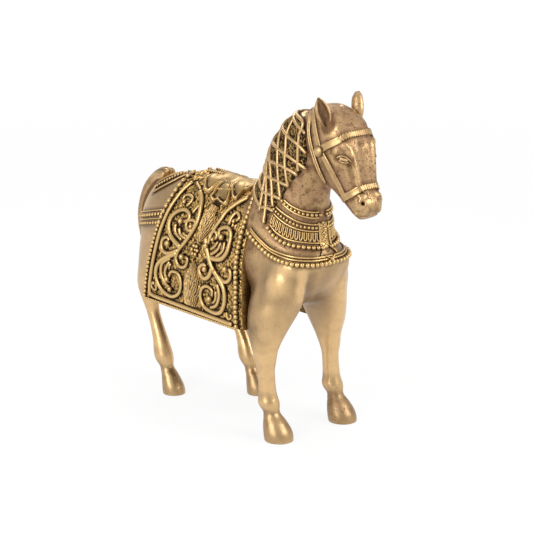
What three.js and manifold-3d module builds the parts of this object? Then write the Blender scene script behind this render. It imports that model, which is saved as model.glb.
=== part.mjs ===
// Brass horse figurine in festival dress: saddle cloth, collars, bridle and a netted mane.
// Millimetres. +X points to the nose, +Y to the horse's left, +Z up, and the hooves stand on z = 0.
import * as THREE from "three";
import { mergeVertices } from "three/addons/utils/BufferGeometryUtils.js";
import Module from "manifold-3d";

const wasm = await Module();
wasm.setup();

// Driving dimensions of the casting. Lengths along X are measured from a plane through the saddle front.
const WITHERS_HEIGHT = 159.5;
const BACK_HEIGHT = 155;
const CROUP_HEIGHT = 156;
const TAIL_ROOT_DROP = 5;
const TAIL_ROOT_HEIGHT = CROUP_HEIGHT - TAIL_ROOT_DROP;
const BELLY_HEIGHT = 89.5;
const BRISKET_HEIGHT = 85.5;
const CHEST_REACH = 62;
const RUMP_REACH = 119;
const BARREL_HALF_WIDTH = 27.5;
const CHEST_HALF_WIDTH = 28;
const RUMP_HALF_WIDTH = 27.5;
const POLL_HEIGHT = 226;
const CREST_REAR = 12;
const THROAT_REACH = 59;
const NECK_HALF_WIDTH = 15;
const NECK_BASE_HALF_WIDTH = 27;
const NOSE_REACH = 104;
const HEAD_DROP = 70.5;
const CHIN_HEIGHT = POLL_HEIGHT - HEAD_DROP;
const BROW_HALF_WIDTH = 17;
const MUZZLE_HALF_WIDTH = 10;
const EAR_LENGTH = 20;
const EAR_HALF_WIDTH = 4.9;
const EAR_WALL = 1.8;
const KNEE_HEIGHT = 52;
const FRONT_HOOF_X = 45;
const FRONT_HOOF_Y = 29;
const FRONT_HOOF_RADIUS = 10.2;
const HIND_HOOF_X = -75.5;
const HIND_HOOF_Y = 22.5;
const HIND_HOOF_RADIUS = 8.3;
const LEFT_HIND_STRIDE = 40;
const FRONT_CANNON_RADIUS = 5.7;
const HIND_CANNON_RADIUS = 4.9;
const TAIL_HALF_WIDTH = 6.5;
const TAIL_DEPTH = 8.5;
const TAIL_STAND_OFF = 11;
const TAIL_TIP_HEIGHT = 63;

// Driving dimensions of the dress. The gap is the seam left between neighbouring pieces, and a piece that
// lies on a curved face is laid at the seat above it.
const GAP = 0.3;
const SEAT = 0.55;
const CLOTH_TOP_THICKNESS = 4;
const CLOTH_HEM_THICKNESS = 9;
const CLOTH_RISE = 5;
const CLOTH_RIDGE_HEIGHT = BACK_HEIGHT + CLOTH_RISE;
const CLOTH_HEM_HEIGHT = 69.5;
const CLOTH_HALF_WIDTH = 34;
const CLOTH_FRONT_X = 10;
const CLOTH_REAR_X = -93.5;
const CLOTH_BEAD_RADIUS = 1.8;
const CLOTH_BEADS = 27;
const FRAME_CORD_WIDTH = 3.2;
const FRAME_CORD_HEIGHT = 1.8;
const VINE_WIDTH = 3;
const VINE_HEIGHT = 2;
const LEAF_HEIGHT = 2.2;
const PLUME_WIDTH = 15;
const PALMETTE_WIDTH = 18;
const PAD_THICKNESS = 2.2;
const PAD_RIDGE_THICKNESS = 5;
const STRAP_WIDTH = 4.6;
const STRAP_HEIGHT = 1.2;
const LATCH_WIDTH = 2.2;
const ROSETTE_RADIUS = 3.8;
const ROSETTE_HEIGHT = 2.2;
const COLLAR_BASE = 1.1;
const COLLAR_RIM = 1.9;
const THROAT_BEAD_RADIUS = 1.2;
const BREAST_BEAD_RADIUS = 1.55;
const SHOULDER_BEAD_RADIUS = 1.5;
const BREAST_BEAD_DROP = 2.6;
const SHOULDER_BAND_WIDTH = 3.4;
const SHOULDER_BEAD_DROP = 5.8;
const PLAQUE_WIDTH = 5;
const PLAQUE_HEIGHT = 2.2;
const HARNESS_BEAD_RADIUS = 1.1;
const BREECHING_WIDTH = 2.4;
const MANE_THICKNESS = 0.8;
const NET_STRAND_WIDTH = 2;
const NET_STRAND_HEIGHT = 1.2;

const BRASS = new THREE.MeshStandardMaterial({ color: 0xb8925a, roughness: 0.38, metalness: 1 });
const DARK_BRASS = new THREE.MeshStandardMaterial({ color: 0x6b4c26, roughness: 0.6, metalness: 1 });
const BRIGHT_BRASS = new THREE.MeshStandardMaterial({ color: 0xcda867, roughness: 0.32, metalness: 1 });

const RIGHT = -1;
const LEFT = 1;
const DEGREE = Math.PI / 180;

// A smooth number through given values, one for each whole step of s.
function smooth(values, s) {
  const last = values.length - 1;
  const i = Math.min(Math.max(Math.floor(s), 0), last - 1);
  const t = s - i;
  const [a, b, c, d] = [i - 1, i, i + 1, i + 2].map((k) => values[Math.min(Math.max(k, 0), last)]);
  const bend = (2 * a - 5 * b + 4 * c - d) * t + (3 * b - a - 3 * c + d) * t * t;
  return b + 0.5 * t * (c - a + bend);
}

// The value of a smooth line through [place, value] pairs.
function along(pairs, place) {
  const last = pairs.length - 1;
  let i = pairs.findIndex(([p]) => p > place) - 1;
  if (i < 0) i = place <= pairs[0][0] ? 0 : last - 1;
  const t = THREE.MathUtils.clamp((place - pairs[i][0]) / (pairs[i + 1][0] - pairs[i][0]), 0, 1);
  return smooth(pairs.map(([, v]) => v), i + t);
}

// A closed skin through rings of points, with a fan over each end ring.
function skin(rings) {
  const n = rings[0].length;
  const points = rings.flat();
  const index = [];
  for (let r = 0; r < rings.length - 1; r++)
    for (let k = 0; k < n; k++) {
      const a = r * n + k;
      const b = r * n + ((k + 1) % n);
      index.push(a, b, b + n, a, b + n, a + n);
    }
  for (const [ring, first] of [[rings[0], 0], [rings.at(-1), (rings.length - 1) * n]]) {
    const middle = ring.reduce((sum, p) => sum.add(p), new THREE.Vector3()).divideScalar(n);
    const hub = points.push(middle) - 1;
    for (let k = 0; k < n; k++) {
      const pair = [first + k, first + ((k + 1) % n)];
      index.push(hub, ...(first ? pair : pair.reverse()));
    }
  }
  const geometry = new THREE.BufferGeometry().setFromPoints(points).setIndex(index);
  return signedVolume(geometry) < 0 ? turnedOver(geometry) : geometry;
}

function signedVolume(geometry) {
  const position = geometry.getAttribute("position");
  const corner = [new THREE.Vector3(), new THREE.Vector3(), new THREE.Vector3()];
  let total = 0;
  for (let i = 0; i < geometry.index.count; i += 3) {
    corner.forEach((v, k) => v.fromBufferAttribute(position, geometry.index.getX(i + k)));
    total += corner[0].dot(corner[1].cross(corner[2])) / 6;
  }
  return total;
}

function turnedOver(geometry) {
  const index = geometry.index.array;
  for (let i = 0; i < index.length; i += 3) [index[i], index[i + 1]] = [index[i + 1], index[i]];
  return geometry;
}

function toSolid(geometry) {
  const bare = geometry.clone();
  bare.deleteAttribute("normal");
  bare.deleteAttribute("uv");
  const merged = mergeVertices(bare, 1e-4);
  const vertProperties = new Float32Array(merged.attributes.position.array);
  const triVerts = new Uint32Array(merged.index.array);
  return new wasm.Manifold(new wasm.Mesh({ numProp: 3, vertProperties, triVerts }));
}

function toGeometry(solid) {
  const mesh = solid.getMesh();
  return new THREE.BufferGeometry()
    .setAttribute("position", new THREE.BufferAttribute(mesh.vertProperties, 3))
    .setIndex(new THREE.BufferAttribute(mesh.triVerts, 1));
}

const joined = (geometries) => toGeometry(geometries.map(toSolid).reduce((all, solid) => all.add(solid)));
const shared = (one, other) => toGeometry(toSolid(one).intersect(toSolid(other)));
const mirrored = (geometry) => turnedOver(geometry.clone().scale(1, -1, 1));

// Pieces are laid one on the other. Each is made by a function of how much it is grown: it is laid ungrown,
// cut back by the pieces laid before it, and grown by the gap it then cuts the ones laid after it. The
// largest body is kept, so no crumb is left behind.
const group = new THREE.Group();
const laid = [];

function lay(name, make, material = BRASS) {
  let solid = toSolid(make(0));
  for (const before of laid) if (touching(solid, before)) solid = solid.subtract(before);
  const bodies = solid.decompose().sort((a, b) => b.volume() - a.volume());
  const mesh = new THREE.Mesh(toGeometry(bodies[0]), material);
  mesh.name = name;
  group.add(mesh);
  laid.push(toSolid(make(GAP)));
}

function touching(one, other) {
  const [a, b] = [one.boundingBox(), other.boundingBox()];
  return [0, 1, 2].every((k) => a.min[k] < b.max[k] && b.min[k] < a.max[k]);
}

function layPair(name, make, material = BRASS) {
  lay(`${name}_right`, make, material);
  lay(`${name}_left`, (grow) => mirrored(make(grow)), material);
}

// A limb is lofted through cuts. A cut runs between two points of the side view's outline, at a half width.
class Limb {
  // Below 1 a fullness swells the half of the section next to that outline, above 1 it slims it.
  constructor(cuts, firstFullness = 1, secondFullness = 1) {
    this.cuts = cuts;
    this.last = cuts.length - 1;
    this.fullness = [firstFullness, secondFullness];
  }
  field(name, s) {
    return smooth(this.cuts.map((cut) => cut[name]), s);
  }
  // The raw surface point. Turn is 0 at the first outline point, 90 on the right flank, 180 at the second.
  raw(s, turn) {
    const first = new THREE.Vector3(this.field("x1", s), 0, this.field("z1", s));
    const second = new THREE.Vector3(this.field("x2", s), 0, this.field("z2", s));
    const power = this.fullness[Math.cos(turn * DEGREE) > 0 ? 0 : 1];
    const swell = (v) => Math.sign(v) * Math.abs(v) ** power;
    const reach = swell(Math.cos(turn * DEGREE));
    const point = first.clone().add(second).multiplyScalar(0.5).addScaledVector(first.sub(second), reach / 2);
    point.y = this.field("y", s) + RIGHT * swell(Math.sin(turn * DEGREE)) * this.field("half", s);
    return point;
  }
  out(s, turn) {
    const low = Math.max(s - 0.05, 0);
    const high = Math.min(s + 0.05, this.last);
    const lengthways = this.raw(high, turn).sub(this.raw(low, turn));
    const round = this.raw(s, turn + 2).sub(this.raw(s, turn - 2));
    const normal = round.cross(lengthways).normalize();
    const centre = this.raw(s, 0).add(this.raw(s, 180)).multiplyScalar(0.5);
    return normal.dot(this.raw(s, turn).sub(centre)) < 0 ? normal.negate() : normal;
  }
  point(s, turn, lift = 0) {
    return this.raw(s, turn).addScaledVector(this.out(s, turn), lift);
  }
  // The place along the limb where the surface passes a given value of x or z at this turn.
  find(axis, value, turn, low = 0, high = this.last) {
    const rising = this.raw(high, turn)[axis] > this.raw(low, turn)[axis];
    for (let i = 0; i < 24; i++) {
      const middle = (low + high) / 2;
      if (this.raw(middle, turn)[axis] > value === rising) high = middle;
      else low = middle;
    }
    return (low + high) / 2;
  }
  // The closed body. A grown one, used as a cutter, also reaches past both end rings.
  solid(sides, stepsPerCut, lift = 0) {
    const count = Math.round(this.last * stepsPerCut);
    const rings = [];
    for (let r = 0; r <= count; r++) {
      const s = (r * this.last) / count;
      rings.push(Array.from({ length: sides }, (_, k) => this.point(s, (k * 360) / sides, lift)));
    }
    if (lift)
      for (const [end, next] of [[0, 1], [count, count - 1]]) {
        const away = rings[end][0].clone().sub(rings[next][0]).setLength(lift);
        rings[end] = rings[end].map((p) => p.clone().add(away));
      }
    return skin(rings);
  }
}

const upright = (x, top, bottom, half) => ({ x1: x, z1: top, x2: x, z2: bottom, half, y: 0 });
const slanted = (x1, z1, x2, z2, half) => ({ x1, z1, x2, z2, half, y: 0 });

// The barrel, from the rump to the breast.
const torso = new Limb([
  upright(-RUMP_REACH, TAIL_ROOT_HEIGHT - 20, BELLY_HEIGHT + 9, RUMP_HALF_WIDTH - 19),
  upright(-RUMP_REACH + 4, TAIL_ROOT_HEIGHT - 8, BELLY_HEIGHT + 2, RUMP_HALF_WIDTH - 9.5),
  upright(-RUMP_REACH + 13, TAIL_ROOT_HEIGHT, BELLY_HEIGHT - 2, RUMP_HALF_WIDTH - 3),
  upright(-RUMP_REACH + 30, CROUP_HEIGHT, BELLY_HEIGHT - 3, RUMP_HALF_WIDTH),
  upright(-66, CROUP_HEIGHT + 1, BELLY_HEIGHT, BARREL_HALF_WIDTH - 0.5),
  upright(-40, BACK_HEIGHT, BELLY_HEIGHT + 1, BARREL_HALF_WIDTH),
  upright(-14, BACK_HEIGHT + 2, BELLY_HEIGHT, BARREL_HALF_WIDTH - 0.5),
  upright(8, WITHERS_HEIGHT - 2, BRISKET_HEIGHT + 1, CHEST_HALF_WIDTH + 0.5),
  upright(CHEST_REACH - 32, WITHERS_HEIGHT - 7, BRISKET_HEIGHT, CHEST_HALF_WIDTH),
  upright(CHEST_REACH - 18, WITHERS_HEIGHT - 16, BRISKET_HEIGHT + 5, CHEST_HALF_WIDTH - 1),
  upright(CHEST_REACH - 7, WITHERS_HEIGHT - 25, WITHERS_HEIGHT - 60, CHEST_HALF_WIDTH - 4),
  upright(CHEST_REACH - 1, WITHERS_HEIGHT - 31, WITHERS_HEIGHT - 49, CHEST_HALF_WIDTH - 12),
  upright(CHEST_REACH + 1, WITHERS_HEIGHT - 37, WITHERS_HEIGHT - 41, CHEST_HALF_WIDTH - 20),
], 1.2, 0.85);

// The neck. Its first outline is the throat and its second the crest. Above the withers its cuts lie at
// shares of the rise to the poll.
const neckRise = (share) => THREE.MathUtils.lerp(WITHERS_HEIGHT, POLL_HEIGHT, share);
const neck = new Limb([
  slanted(THROAT_REACH - 8, WITHERS_HEIGHT - 60, -26, WITHERS_HEIGHT - 24, NECK_BASE_HALF_WIDTH - 3),
  slanted(THROAT_REACH - 1, WITHERS_HEIGHT - 43, -16, WITHERS_HEIGHT - 7, NECK_BASE_HALF_WIDTH),
  slanted(THROAT_REACH - 2, WITHERS_HEIGHT - 27, -6, WITHERS_HEIGHT + 1, NECK_HALF_WIDTH + 7.5),
  slanted(THROAT_REACH - 3, WITHERS_HEIGHT - 13, CREST_REAR - 10, neckRise(0.15), NECK_HALF_WIDTH + 4),
  slanted(THROAT_REACH - 3, WITHERS_HEIGHT - 1, CREST_REAR - 4.5, neckRise(0.331), NECK_HALF_WIDTH + 1.5),
  slanted(THROAT_REACH, neckRise(0.173), CREST_REAR - 0.5, neckRise(0.489), NECK_HALF_WIDTH + 0.5),
  slanted(THROAT_REACH + 4, neckRise(0.353), CREST_REAR + 6.5, neckRise(0.647), NECK_HALF_WIDTH - 1),
  slanted(THROAT_REACH + 9, neckRise(0.564), CREST_REAR + 16, neckRise(0.782), NECK_HALF_WIDTH - 2),
  slanted(THROAT_REACH + 14, neckRise(0.759), CREST_REAR + 27, neckRise(0.88), NECK_HALF_WIDTH - 4),
], 0.92, 1.08);

// The head. Its first outline runs from the poll down the face, its second down the jaw. Its cuts lie at
// shares of the drop from the poll to the chin.
const headDrop = (share) => THREE.MathUtils.lerp(POLL_HEIGHT, CHIN_HEIGHT, share);
const head = new Limb([
  slanted(NOSE_REACH - 51, headDrop(0.028), NOSE_REACH - 61, headDrop(0.213), BROW_HALF_WIDTH - 8),
  slanted(NOSE_REACH - 39, headDrop(0), NOSE_REACH - 56, headDrop(0.383), BROW_HALF_WIDTH - 3.4),
  slanted(NOSE_REACH - 27, headDrop(0.043), NOSE_REACH - 52, headDrop(0.539), BROW_HALF_WIDTH - 1),
  slanted(NOSE_REACH - 17, headDrop(0.156), NOSE_REACH - 47, headDrop(0.652), BROW_HALF_WIDTH),
  slanted(NOSE_REACH - 11.5, headDrop(0.326), NOSE_REACH - 40, headDrop(0.738), BROW_HALF_WIDTH - 0.4),
  slanted(NOSE_REACH - 8.5, headDrop(0.496), NOSE_REACH - 32, headDrop(0.794), MUZZLE_HALF_WIDTH + 3.2),
  slanted(NOSE_REACH - 6.5, headDrop(0.645), NOSE_REACH - 24.5, headDrop(0.865), MUZZLE_HALF_WIDTH + 1),
  slanted(NOSE_REACH - 3, headDrop(0.745), NOSE_REACH - 18.5, headDrop(0.922), MUZZLE_HALF_WIDTH + 0.3),
  slanted(NOSE_REACH, headDrop(0.837), NOSE_REACH - 13.5, headDrop(0.965), MUZZLE_HALF_WIDTH),
  slanted(NOSE_REACH - 1.5, headDrop(0.943), NOSE_REACH - 9, headDrop(1), MUZZLE_HALF_WIDTH - 3.5),
], 0.72, 1);

// A leg is lofted upwards through level cuts: height, centre x, front and rear reach, half width, centre y.
function levelCut(z, x, front, rear, half, y) {
  return { x1: x + front, z1: z, x2: x - rear, z2: z, half, y };
}

// Above the knee, the cuts of a front leg lie at shares of the rise to the withers.
const legRise = (share) => THREE.MathUtils.lerp(KNEE_HEIGHT, WITHERS_HEIGHT, share);

function frontLeg(side) {
  const hoof = FRONT_HOOF_RADIUS;
  const cannon = FRONT_CANNON_RADIUS;
  const x = FRONT_HOOF_X;
  const y = FRONT_HOOF_Y;
  return new Limb([
    levelCut(0, x, hoof - 0.2, hoof - 2.4, hoof - 1.6, side * y),
    levelCut(2, x, hoof + 0.6, hoof - 1.4, hoof - 0.6, side * y),
    levelCut(6, x - 0.6, hoof + 0.4, hoof - 1, hoof - 0.4, side * y),
    levelCut(11, x - 2.8, hoof - 1.2, hoof - 1.8, hoof - 2, side * y),
    levelCut(15, x - 5, cannon + 0.8, cannon + 0.8, cannon + 0.4, side * y),
    levelCut(18.5, x - 6.6, cannon, cannon + 0.4, cannon, side * y),
    levelCut(23.5, x - 8.8, cannon + 1.2, cannon + 2.2, cannon + 1.4, side * y),
    levelCut(28, x - 10, cannon + 0.6, cannon + 1, cannon + 0.4, side * y),
    levelCut(35, x - 11, cannon + 0.2, cannon + 0.2, cannon, side * y),
    levelCut(44, x - 11.8, cannon + 0.2, cannon + 0.2, cannon, side * y),
    levelCut(KNEE_HEIGHT, x - 12, cannon + 1.4, cannon + 2.4, cannon + 0.6, side * y),
    levelCut(legRise(0.074), x - 12, cannon + 3, cannon + 7, cannon + 1.8, side * (y - 0.6)),
    levelCut(legRise(0.167), x - 11.5, cannon + 6.6, cannon + 12, cannon + 4, side * (y - 2)),
    levelCut(legRise(0.279), x - 10, cannon + 10.2, cannon + 16.5, cannon + 6.4, side * (y - 5.5)),
    levelCut(legRise(0.409), x - 8, cannon + 12.6, cannon + 17, cannon + 8, side * (y - 10.5)),
    levelCut(legRise(0.549), x - 6, cannon + 12, cannon + 12, cannon + 7.4, side * (y - 12.5)),
    levelCut(legRise(0.651), x - 6, cannon + 5, cannon + 6, cannon + 3, side * (y - 13.5)),
  ]);
}

// The left hind leg stands a stride ahead of the right one.
function hindLeg(side, stride) {
  const hoof = HIND_HOOF_RADIUS;
  const cannon = HIND_CANNON_RADIUS;
  const hock = -RUMP_REACH + 16;
  const y = HIND_HOOF_Y;
  const forwards = [[0, 1], [32, 1], [48, 0.94], [62, 0.8], [82, 0.42], [102, 0.1], [132, 0]];
  const level = (z, x, front, rear, half, inset) =>
    levelCut(z, x + stride * along(forwards, z), front, rear, half, side * (y - inset));
  const x = HIND_HOOF_X;
  return new Limb([
    level(0, x, hoof - 0.2, hoof - 1.8, hoof - 1.2, 0),
    level(1.6, x, hoof + 0.6, hoof - 1, hoof - 0.4, 0),
    level(6, x - 0.8, hoof + 0.2, hoof - 1, hoof - 0.4, 0),
    level(10.5, x - 2.6, hoof - 1.4, hoof - 1.8, hoof - 1.6, 0),
    level(14.5, x - 4.8, cannon + 0.6, cannon + 0.8, cannon + 0.6, 0),
    level(18, x - 7, cannon, cannon + 0.4, cannon, 0),
    level(24.5, x - 10.4, cannon + 2, cannon + 2.2, cannon + 1.6, 0),
    level(31, x - 12.4, cannon + 1.8, cannon + 1.6, cannon + 1.2, 0),
    level(38, x - 14.6, cannon + 0.9, cannon + 0.8, cannon + 0.4, 0),
    level(47, x - 18.4, cannon + 0.1, cannon + 0.1, cannon - 0.3, 0),
    level(56, x - 22.4, cannon + 0.1, cannon + 0.1, cannon - 0.3, 0),
    level(64, hock + 2.8, cannon + 1.8, cannon + 2, cannon + 0.8, 0),
    level(74, hock + 2, cannon + 7.6, cannon + 7.4, cannon + 2.6, 0.5),
    level(86, hock + 6, cannon + 12.6, cannon + 11, cannon + 4.6, 2),
    level(102, hock + 12, cannon + 16.6, cannon + 18, cannon + 6.4, 4.5),
    level(118, hock + 14, cannon + 14, cannon + 17, cannon + 6.6, 6.5),
    level(132, hock + 14, cannon + 8, cannon + 8, cannon + 3, 8),
  ]);
}

const legs = {
  front_right_leg: frontLeg(RIGHT),
  front_left_leg: frontLeg(LEFT),
  hind_right_leg: hindLeg(RIGHT, 0),
  hind_left_leg: hindLeg(LEFT, LEFT_HIND_STRIDE),
};

// The tail arches off the croup and hangs clear of the rump. Its first outline is the outer one.
const bend = -RUMP_REACH - TAIL_STAND_OFF;
const tail = new Limb([
  slanted(15 - RUMP_REACH, TAIL_ROOT_HEIGHT + 5, 13 - RUMP_REACH, TAIL_ROOT_HEIGHT - 5, TAIL_HALF_WIDTH - 0.5),
  slanted(7 - RUMP_REACH, TAIL_ROOT_HEIGHT + 4.5, 6 - RUMP_REACH, TAIL_ROOT_HEIGHT - 6, TAIL_HALF_WIDTH),
  slanted(bend + 11, TAIL_ROOT_HEIGHT + 1.5, bend + 15, TAIL_ROOT_HEIGHT - 8, TAIL_HALF_WIDTH),
  slanted(bend + 2.5, TAIL_ROOT_HEIGHT - 5.5, bend + 9.5, TAIL_ROOT_HEIGHT - 12.5, TAIL_HALF_WIDTH),
  slanted(bend - TAIL_DEPTH + 4.5, TAIL_ROOT_HEIGHT - 16, bend + 4, TAIL_ROOT_HEIGHT - 20, TAIL_HALF_WIDTH),
  slanted(bend - TAIL_DEPTH + 0.3, TAIL_ROOT_HEIGHT - 29, bend + 0.3, TAIL_ROOT_HEIGHT - 30, TAIL_HALF_WIDTH),
  slanted(bend - TAIL_DEPTH + 0.3, TAIL_TIP_HEIGHT + 48, bend + 0.5, TAIL_TIP_HEIGHT + 47, TAIL_HALF_WIDTH),
  slanted(bend - TAIL_DEPTH + 4, TAIL_TIP_HEIGHT + 33, bend + 4, TAIL_TIP_HEIGHT + 34, TAIL_HALF_WIDTH - 0.5),
  slanted(bend - TAIL_DEPTH + 9, TAIL_TIP_HEIGHT + 18, bend + 7.5, TAIL_TIP_HEIGHT + 20, TAIL_HALF_WIDTH - 1),
  slanted(bend - TAIL_DEPTH + 13, TAIL_TIP_HEIGHT + 6, bend + 10, TAIL_TIP_HEIGHT + 7, TAIL_HALF_WIDTH - 2.5),
  slanted(bend - TAIL_DEPTH + 15, TAIL_TIP_HEIGHT, bend + 9.5, TAIL_TIP_HEIGHT + 0.5, TAIL_HALF_WIDTH - 4.5),
]);

// A cupped ear, opening forwards and outwards, grown from the head towards its tip.
function ear() {
  const root = new THREE.Vector3(NOSE_REACH - 29, RIGHT * (BROW_HALF_WIDTH - 2.8), POLL_HEIGHT - 12);
  const lean = new THREE.Vector3(-0.3, RIGHT * 0.18, 1).normalize();
  const opening = new THREE.Vector3(1, RIGHT * 0.15, 0.1).normalize();
  const across = opening.clone().cross(lean).normalize();
  const spread = [0.7, 0.95, 1, 0.96, 0.78, 0.3];
  const rings = spread.map((share, i) => {
    const half = EAR_HALF_WIDTH * share;
    const wall = Math.min(EAR_WALL, half * 0.6);
    const centre = root.clone().addScaledVector(lean, (EAR_LENGTH * i) / (spread.length - 1));
    const place = (angle, radius, depth) =>
      centre
        .clone()
        .addScaledVector(across, Math.sin(angle * DEGREE) * radius)
        .addScaledVector(opening, -Math.cos(angle * DEGREE) * depth);
    const shell = [-90, -45, 0, 45, 90].map((angle) => place(angle, half, half * 0.9));
    const cup = [60, 0, -60].map((angle) => place(angle, half - wall, (half - wall) * 0.75));
    return [...shell, ...cup];
  });
  return skin(rings);
}

// The saddle cloth, drawn at ten levels from the ridge of the back down to the hem.
const CLOTH_SWELL = [0, 8, 15, 21, 26, 29.5, 32, 33.2, 33.8, 34].map((y) => y + CLOTH_HALF_WIDTH - 34);
const CLOTH_DROP = [0, 2, 7, 14.5, 24, 35.5, 47.5, 61.5, 75.5, 90.5];
const CLOTH_FRONT_SET = [-14, -7, -2, 1, 1.5, 1.5, 2, 3.5, 4, 5];
const CLOTH_REAR_SET = [24, 22.5, 21, 19, 16, 12.5, 9.5, 5.5, 2.5, 0];
const CLOTH_LAST = CLOTH_DROP.length - 1;

// A place on the cloth: share runs from the rear border (0) to the front one (1), level from ridge to hem.
const cloth = {
  raw(share, level) {
    const drop = smooth(CLOTH_DROP, level) / CLOTH_DROP[CLOTH_LAST];
    const rear = CLOTH_REAR_X + smooth(CLOTH_REAR_SET, level);
    const front = CLOTH_FRONT_X + smooth(CLOTH_FRONT_SET, level);
    const y = level ? smooth(CLOTH_SWELL, level) : 0;
    const z = CLOTH_RIDGE_HEIGHT - drop * (CLOTH_RIDGE_HEIGHT - CLOTH_HEM_HEIGHT);
    return new THREE.Vector3(rear + share * (front - rear), RIGHT * y, z);
  },
  out(share, level) {
    const below = this.raw(share, Math.min(level + 0.1, CLOTH_LAST));
    const down = below.sub(this.raw(share, Math.max(level - 0.1, 0)));
    return new THREE.Vector3(0, RIGHT * -down.z, Math.abs(down.y)).normalize();
  },
  point(share, level, lift = 0) {
    return this.raw(share, level).addScaledVector(this.out(share, level), lift);
  },
};

// One side of the cloth, thick enough to reach the body. A grown one is used as a cutter.
function clothSide(grow = 0) {
  const rings = [];
  const steps = 4;
  for (let i = 0; i <= steps; i++) {
    const ring = [];
    for (let j = 0; j <= CLOTH_LAST; j++) ring.push(cloth.point(i / steps, j, grow));
    for (let j = CLOTH_LAST; j >= 0; j--) {
      const depth = THREE.MathUtils.lerp(CLOTH_TOP_THICKNESS, CLOTH_HEM_THICKNESS, j / CLOTH_LAST);
      ring.push(cloth.point(i / steps, j, -depth));
    }
    for (const p of ring) p.y = Math.min(p.y, grow ? 0.01 : (RIGHT * GAP) / 2);
    rings.push(ring);
  }
  return skin(rings);
}

// A trail is a smooth row of spots on a surface through marks, each spot a point and its outward direction.
function trail(surface, marks, count) {
  return Array.from({ length: count + 1 }, (_, i) => {
    const s = (i / count) * (marks.length - 1);
    const [a, b] = [0, 1].map((k) => smooth(marks.map((mark) => mark[k]), s));
    return { at: surface.point(a, b), out: surface.out(a, b) };
  });
}

// The same trail with its spots at even distances.
function evenly(spots, count) {
  const reached = [0];
  for (let i = 1; i < spots.length; i++)
    reached.push(reached[i - 1] + spots[i].at.distanceTo(spots[i - 1].at));
  return Array.from({ length: count + 1 }, (_, k) => {
    const goal = (reached.at(-1) * k) / count;
    let i = 1;
    while (i < spots.length - 1 && reached[i] < goal) i++;
    const t = (goal - reached[i - 1]) / (reached[i] - reached[i - 1]);
    const between = (name) => spots[i - 1][name].clone().lerp(spots[i][name], t);
    return { at: between("at"), out: between("out").normalize() };
  });
}

// Sweeps a section along a trail. Section points are [share of the half width, share of the height].
const STRAP = [[-1, 0], [1, 0], [0.8, 1], [-0.8, 1]];
const LEAF = [[-0.8, 0], [0.8, 0], [1, 0.4], [0, 1], [-1, 0.4]];
const RIDGE = [[-1, 0], [1, 0], [0, 1]];
const RIMMED = [[-1, 0], [1, 0], [0.9, 1], [0.6, 0.6], [-0.6, 0.6], [-0.9, 1]];

function swept(spots, section, width, height, lift = SEAT) {
  const last = spots.length - 1;
  return (grow) => {
    const rings = spots.map((spot, i) => {
      const forward = spots[Math.min(i + 1, last)].at.clone().sub(spots[Math.max(i - 1, 0)].at);
      const across = forward.cross(spot.out).normalize();
      const half = (typeof width === "function" ? width(i / last) : width) / 2 + grow;
      return section.map(([side, up]) =>
        spot.at
          .clone()
          .addScaledVector(across, side * half)
          .addScaledVector(spot.out, lift - grow + up * (height + 2 * grow)),
      );
    });
    return skin(rings);
  };
}

// A row of beads rolled from one wire, so that each bead is joined to the next by a neck.
function beadRow(spots, count, radius, lift = SEAT) {
  const places = evenly(spots, 2 * count);
  const last = places.length - 1;
  return (grow) => {
    const rings = places.map((spot, i) => {
      const size = (i % 2 ? radius : radius * 0.4) + grow;
      const forward = places[Math.min(i + 1, last)].at.clone().sub(places[Math.max(i - 1, 0)].at);
      const across = forward.cross(spot.out).normalize();
      const centre = spot.at.clone().addScaledVector(spot.out, lift + radius);
      return [[-0.8, -0.8], [0.8, -0.8], [0.8, 0.8], [-0.8, 0.8]].map(([side, up]) =>
        centre.clone().addScaledVector(across, side * size).addScaledVector(spot.out, up * size),
      );
    });
    return skin(rings);
  };
}

// A band between two lines of marks on a surface, with one lift for each line of points across it.
function band(surface, first, second, count, lifts) {
  return (grow) => {
    const rings = [];
    for (let i = 0; i <= count; i++) {
      const s = (i / count) * (first.length - 1);
      const [a, b] = [first, second].map((line) => [0, 1].map((k) => smooth(line.map((mark) => mark[k]), s)));
      const place = (t, lift) => surface.point(a[0] + t * (b[0] - a[0]), a[1] + t * (b[1] - a[1]), lift);
      const reach = grow / place(0, 0).distanceTo(place(1, 0));
      const spread = (t) => t * (1 + 2 * reach) - reach;
      const top = lifts.map((lift, k) => place(spread(k / (lifts.length - 1)), lift + grow));
      const under = (lifts.length > 4 ? [1, 0.5, 0] : [1, 0]).map((t) => place(spread(t), SEAT - grow));
      rings.push([...top, ...under]);
    }
    return skin(rings);
  };
}

// A tuft, leaf or plume widens from one end and closes towards the other.
const leafWidth = (full, shape) => (t) => full * smooth(shape, t * (shape.length - 1));

// The horse itself.
const LEG_SIDES = 12;
const NECK_SIDES = 22;
const HEAD_SIDES = 18;
const TORSO_SIDES = 22;
const TAIL_SIDES = 10;
for (const [name, leg] of Object.entries(legs)) lay(name, (grow) => leg.solid(LEG_SIDES, 1, grow));
lay("head", (grow) => head.solid(HEAD_SIDES, 1.3, grow));
lay("tail", (grow) => tail.solid(TAIL_SIDES, 1, grow));
lay("neck", (grow) => neck.solid(NECK_SIDES, 1, grow));
lay("torso", (grow) => torso.solid(TORSO_SIDES, 1, grow));
layPair("ear", ear);

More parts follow.
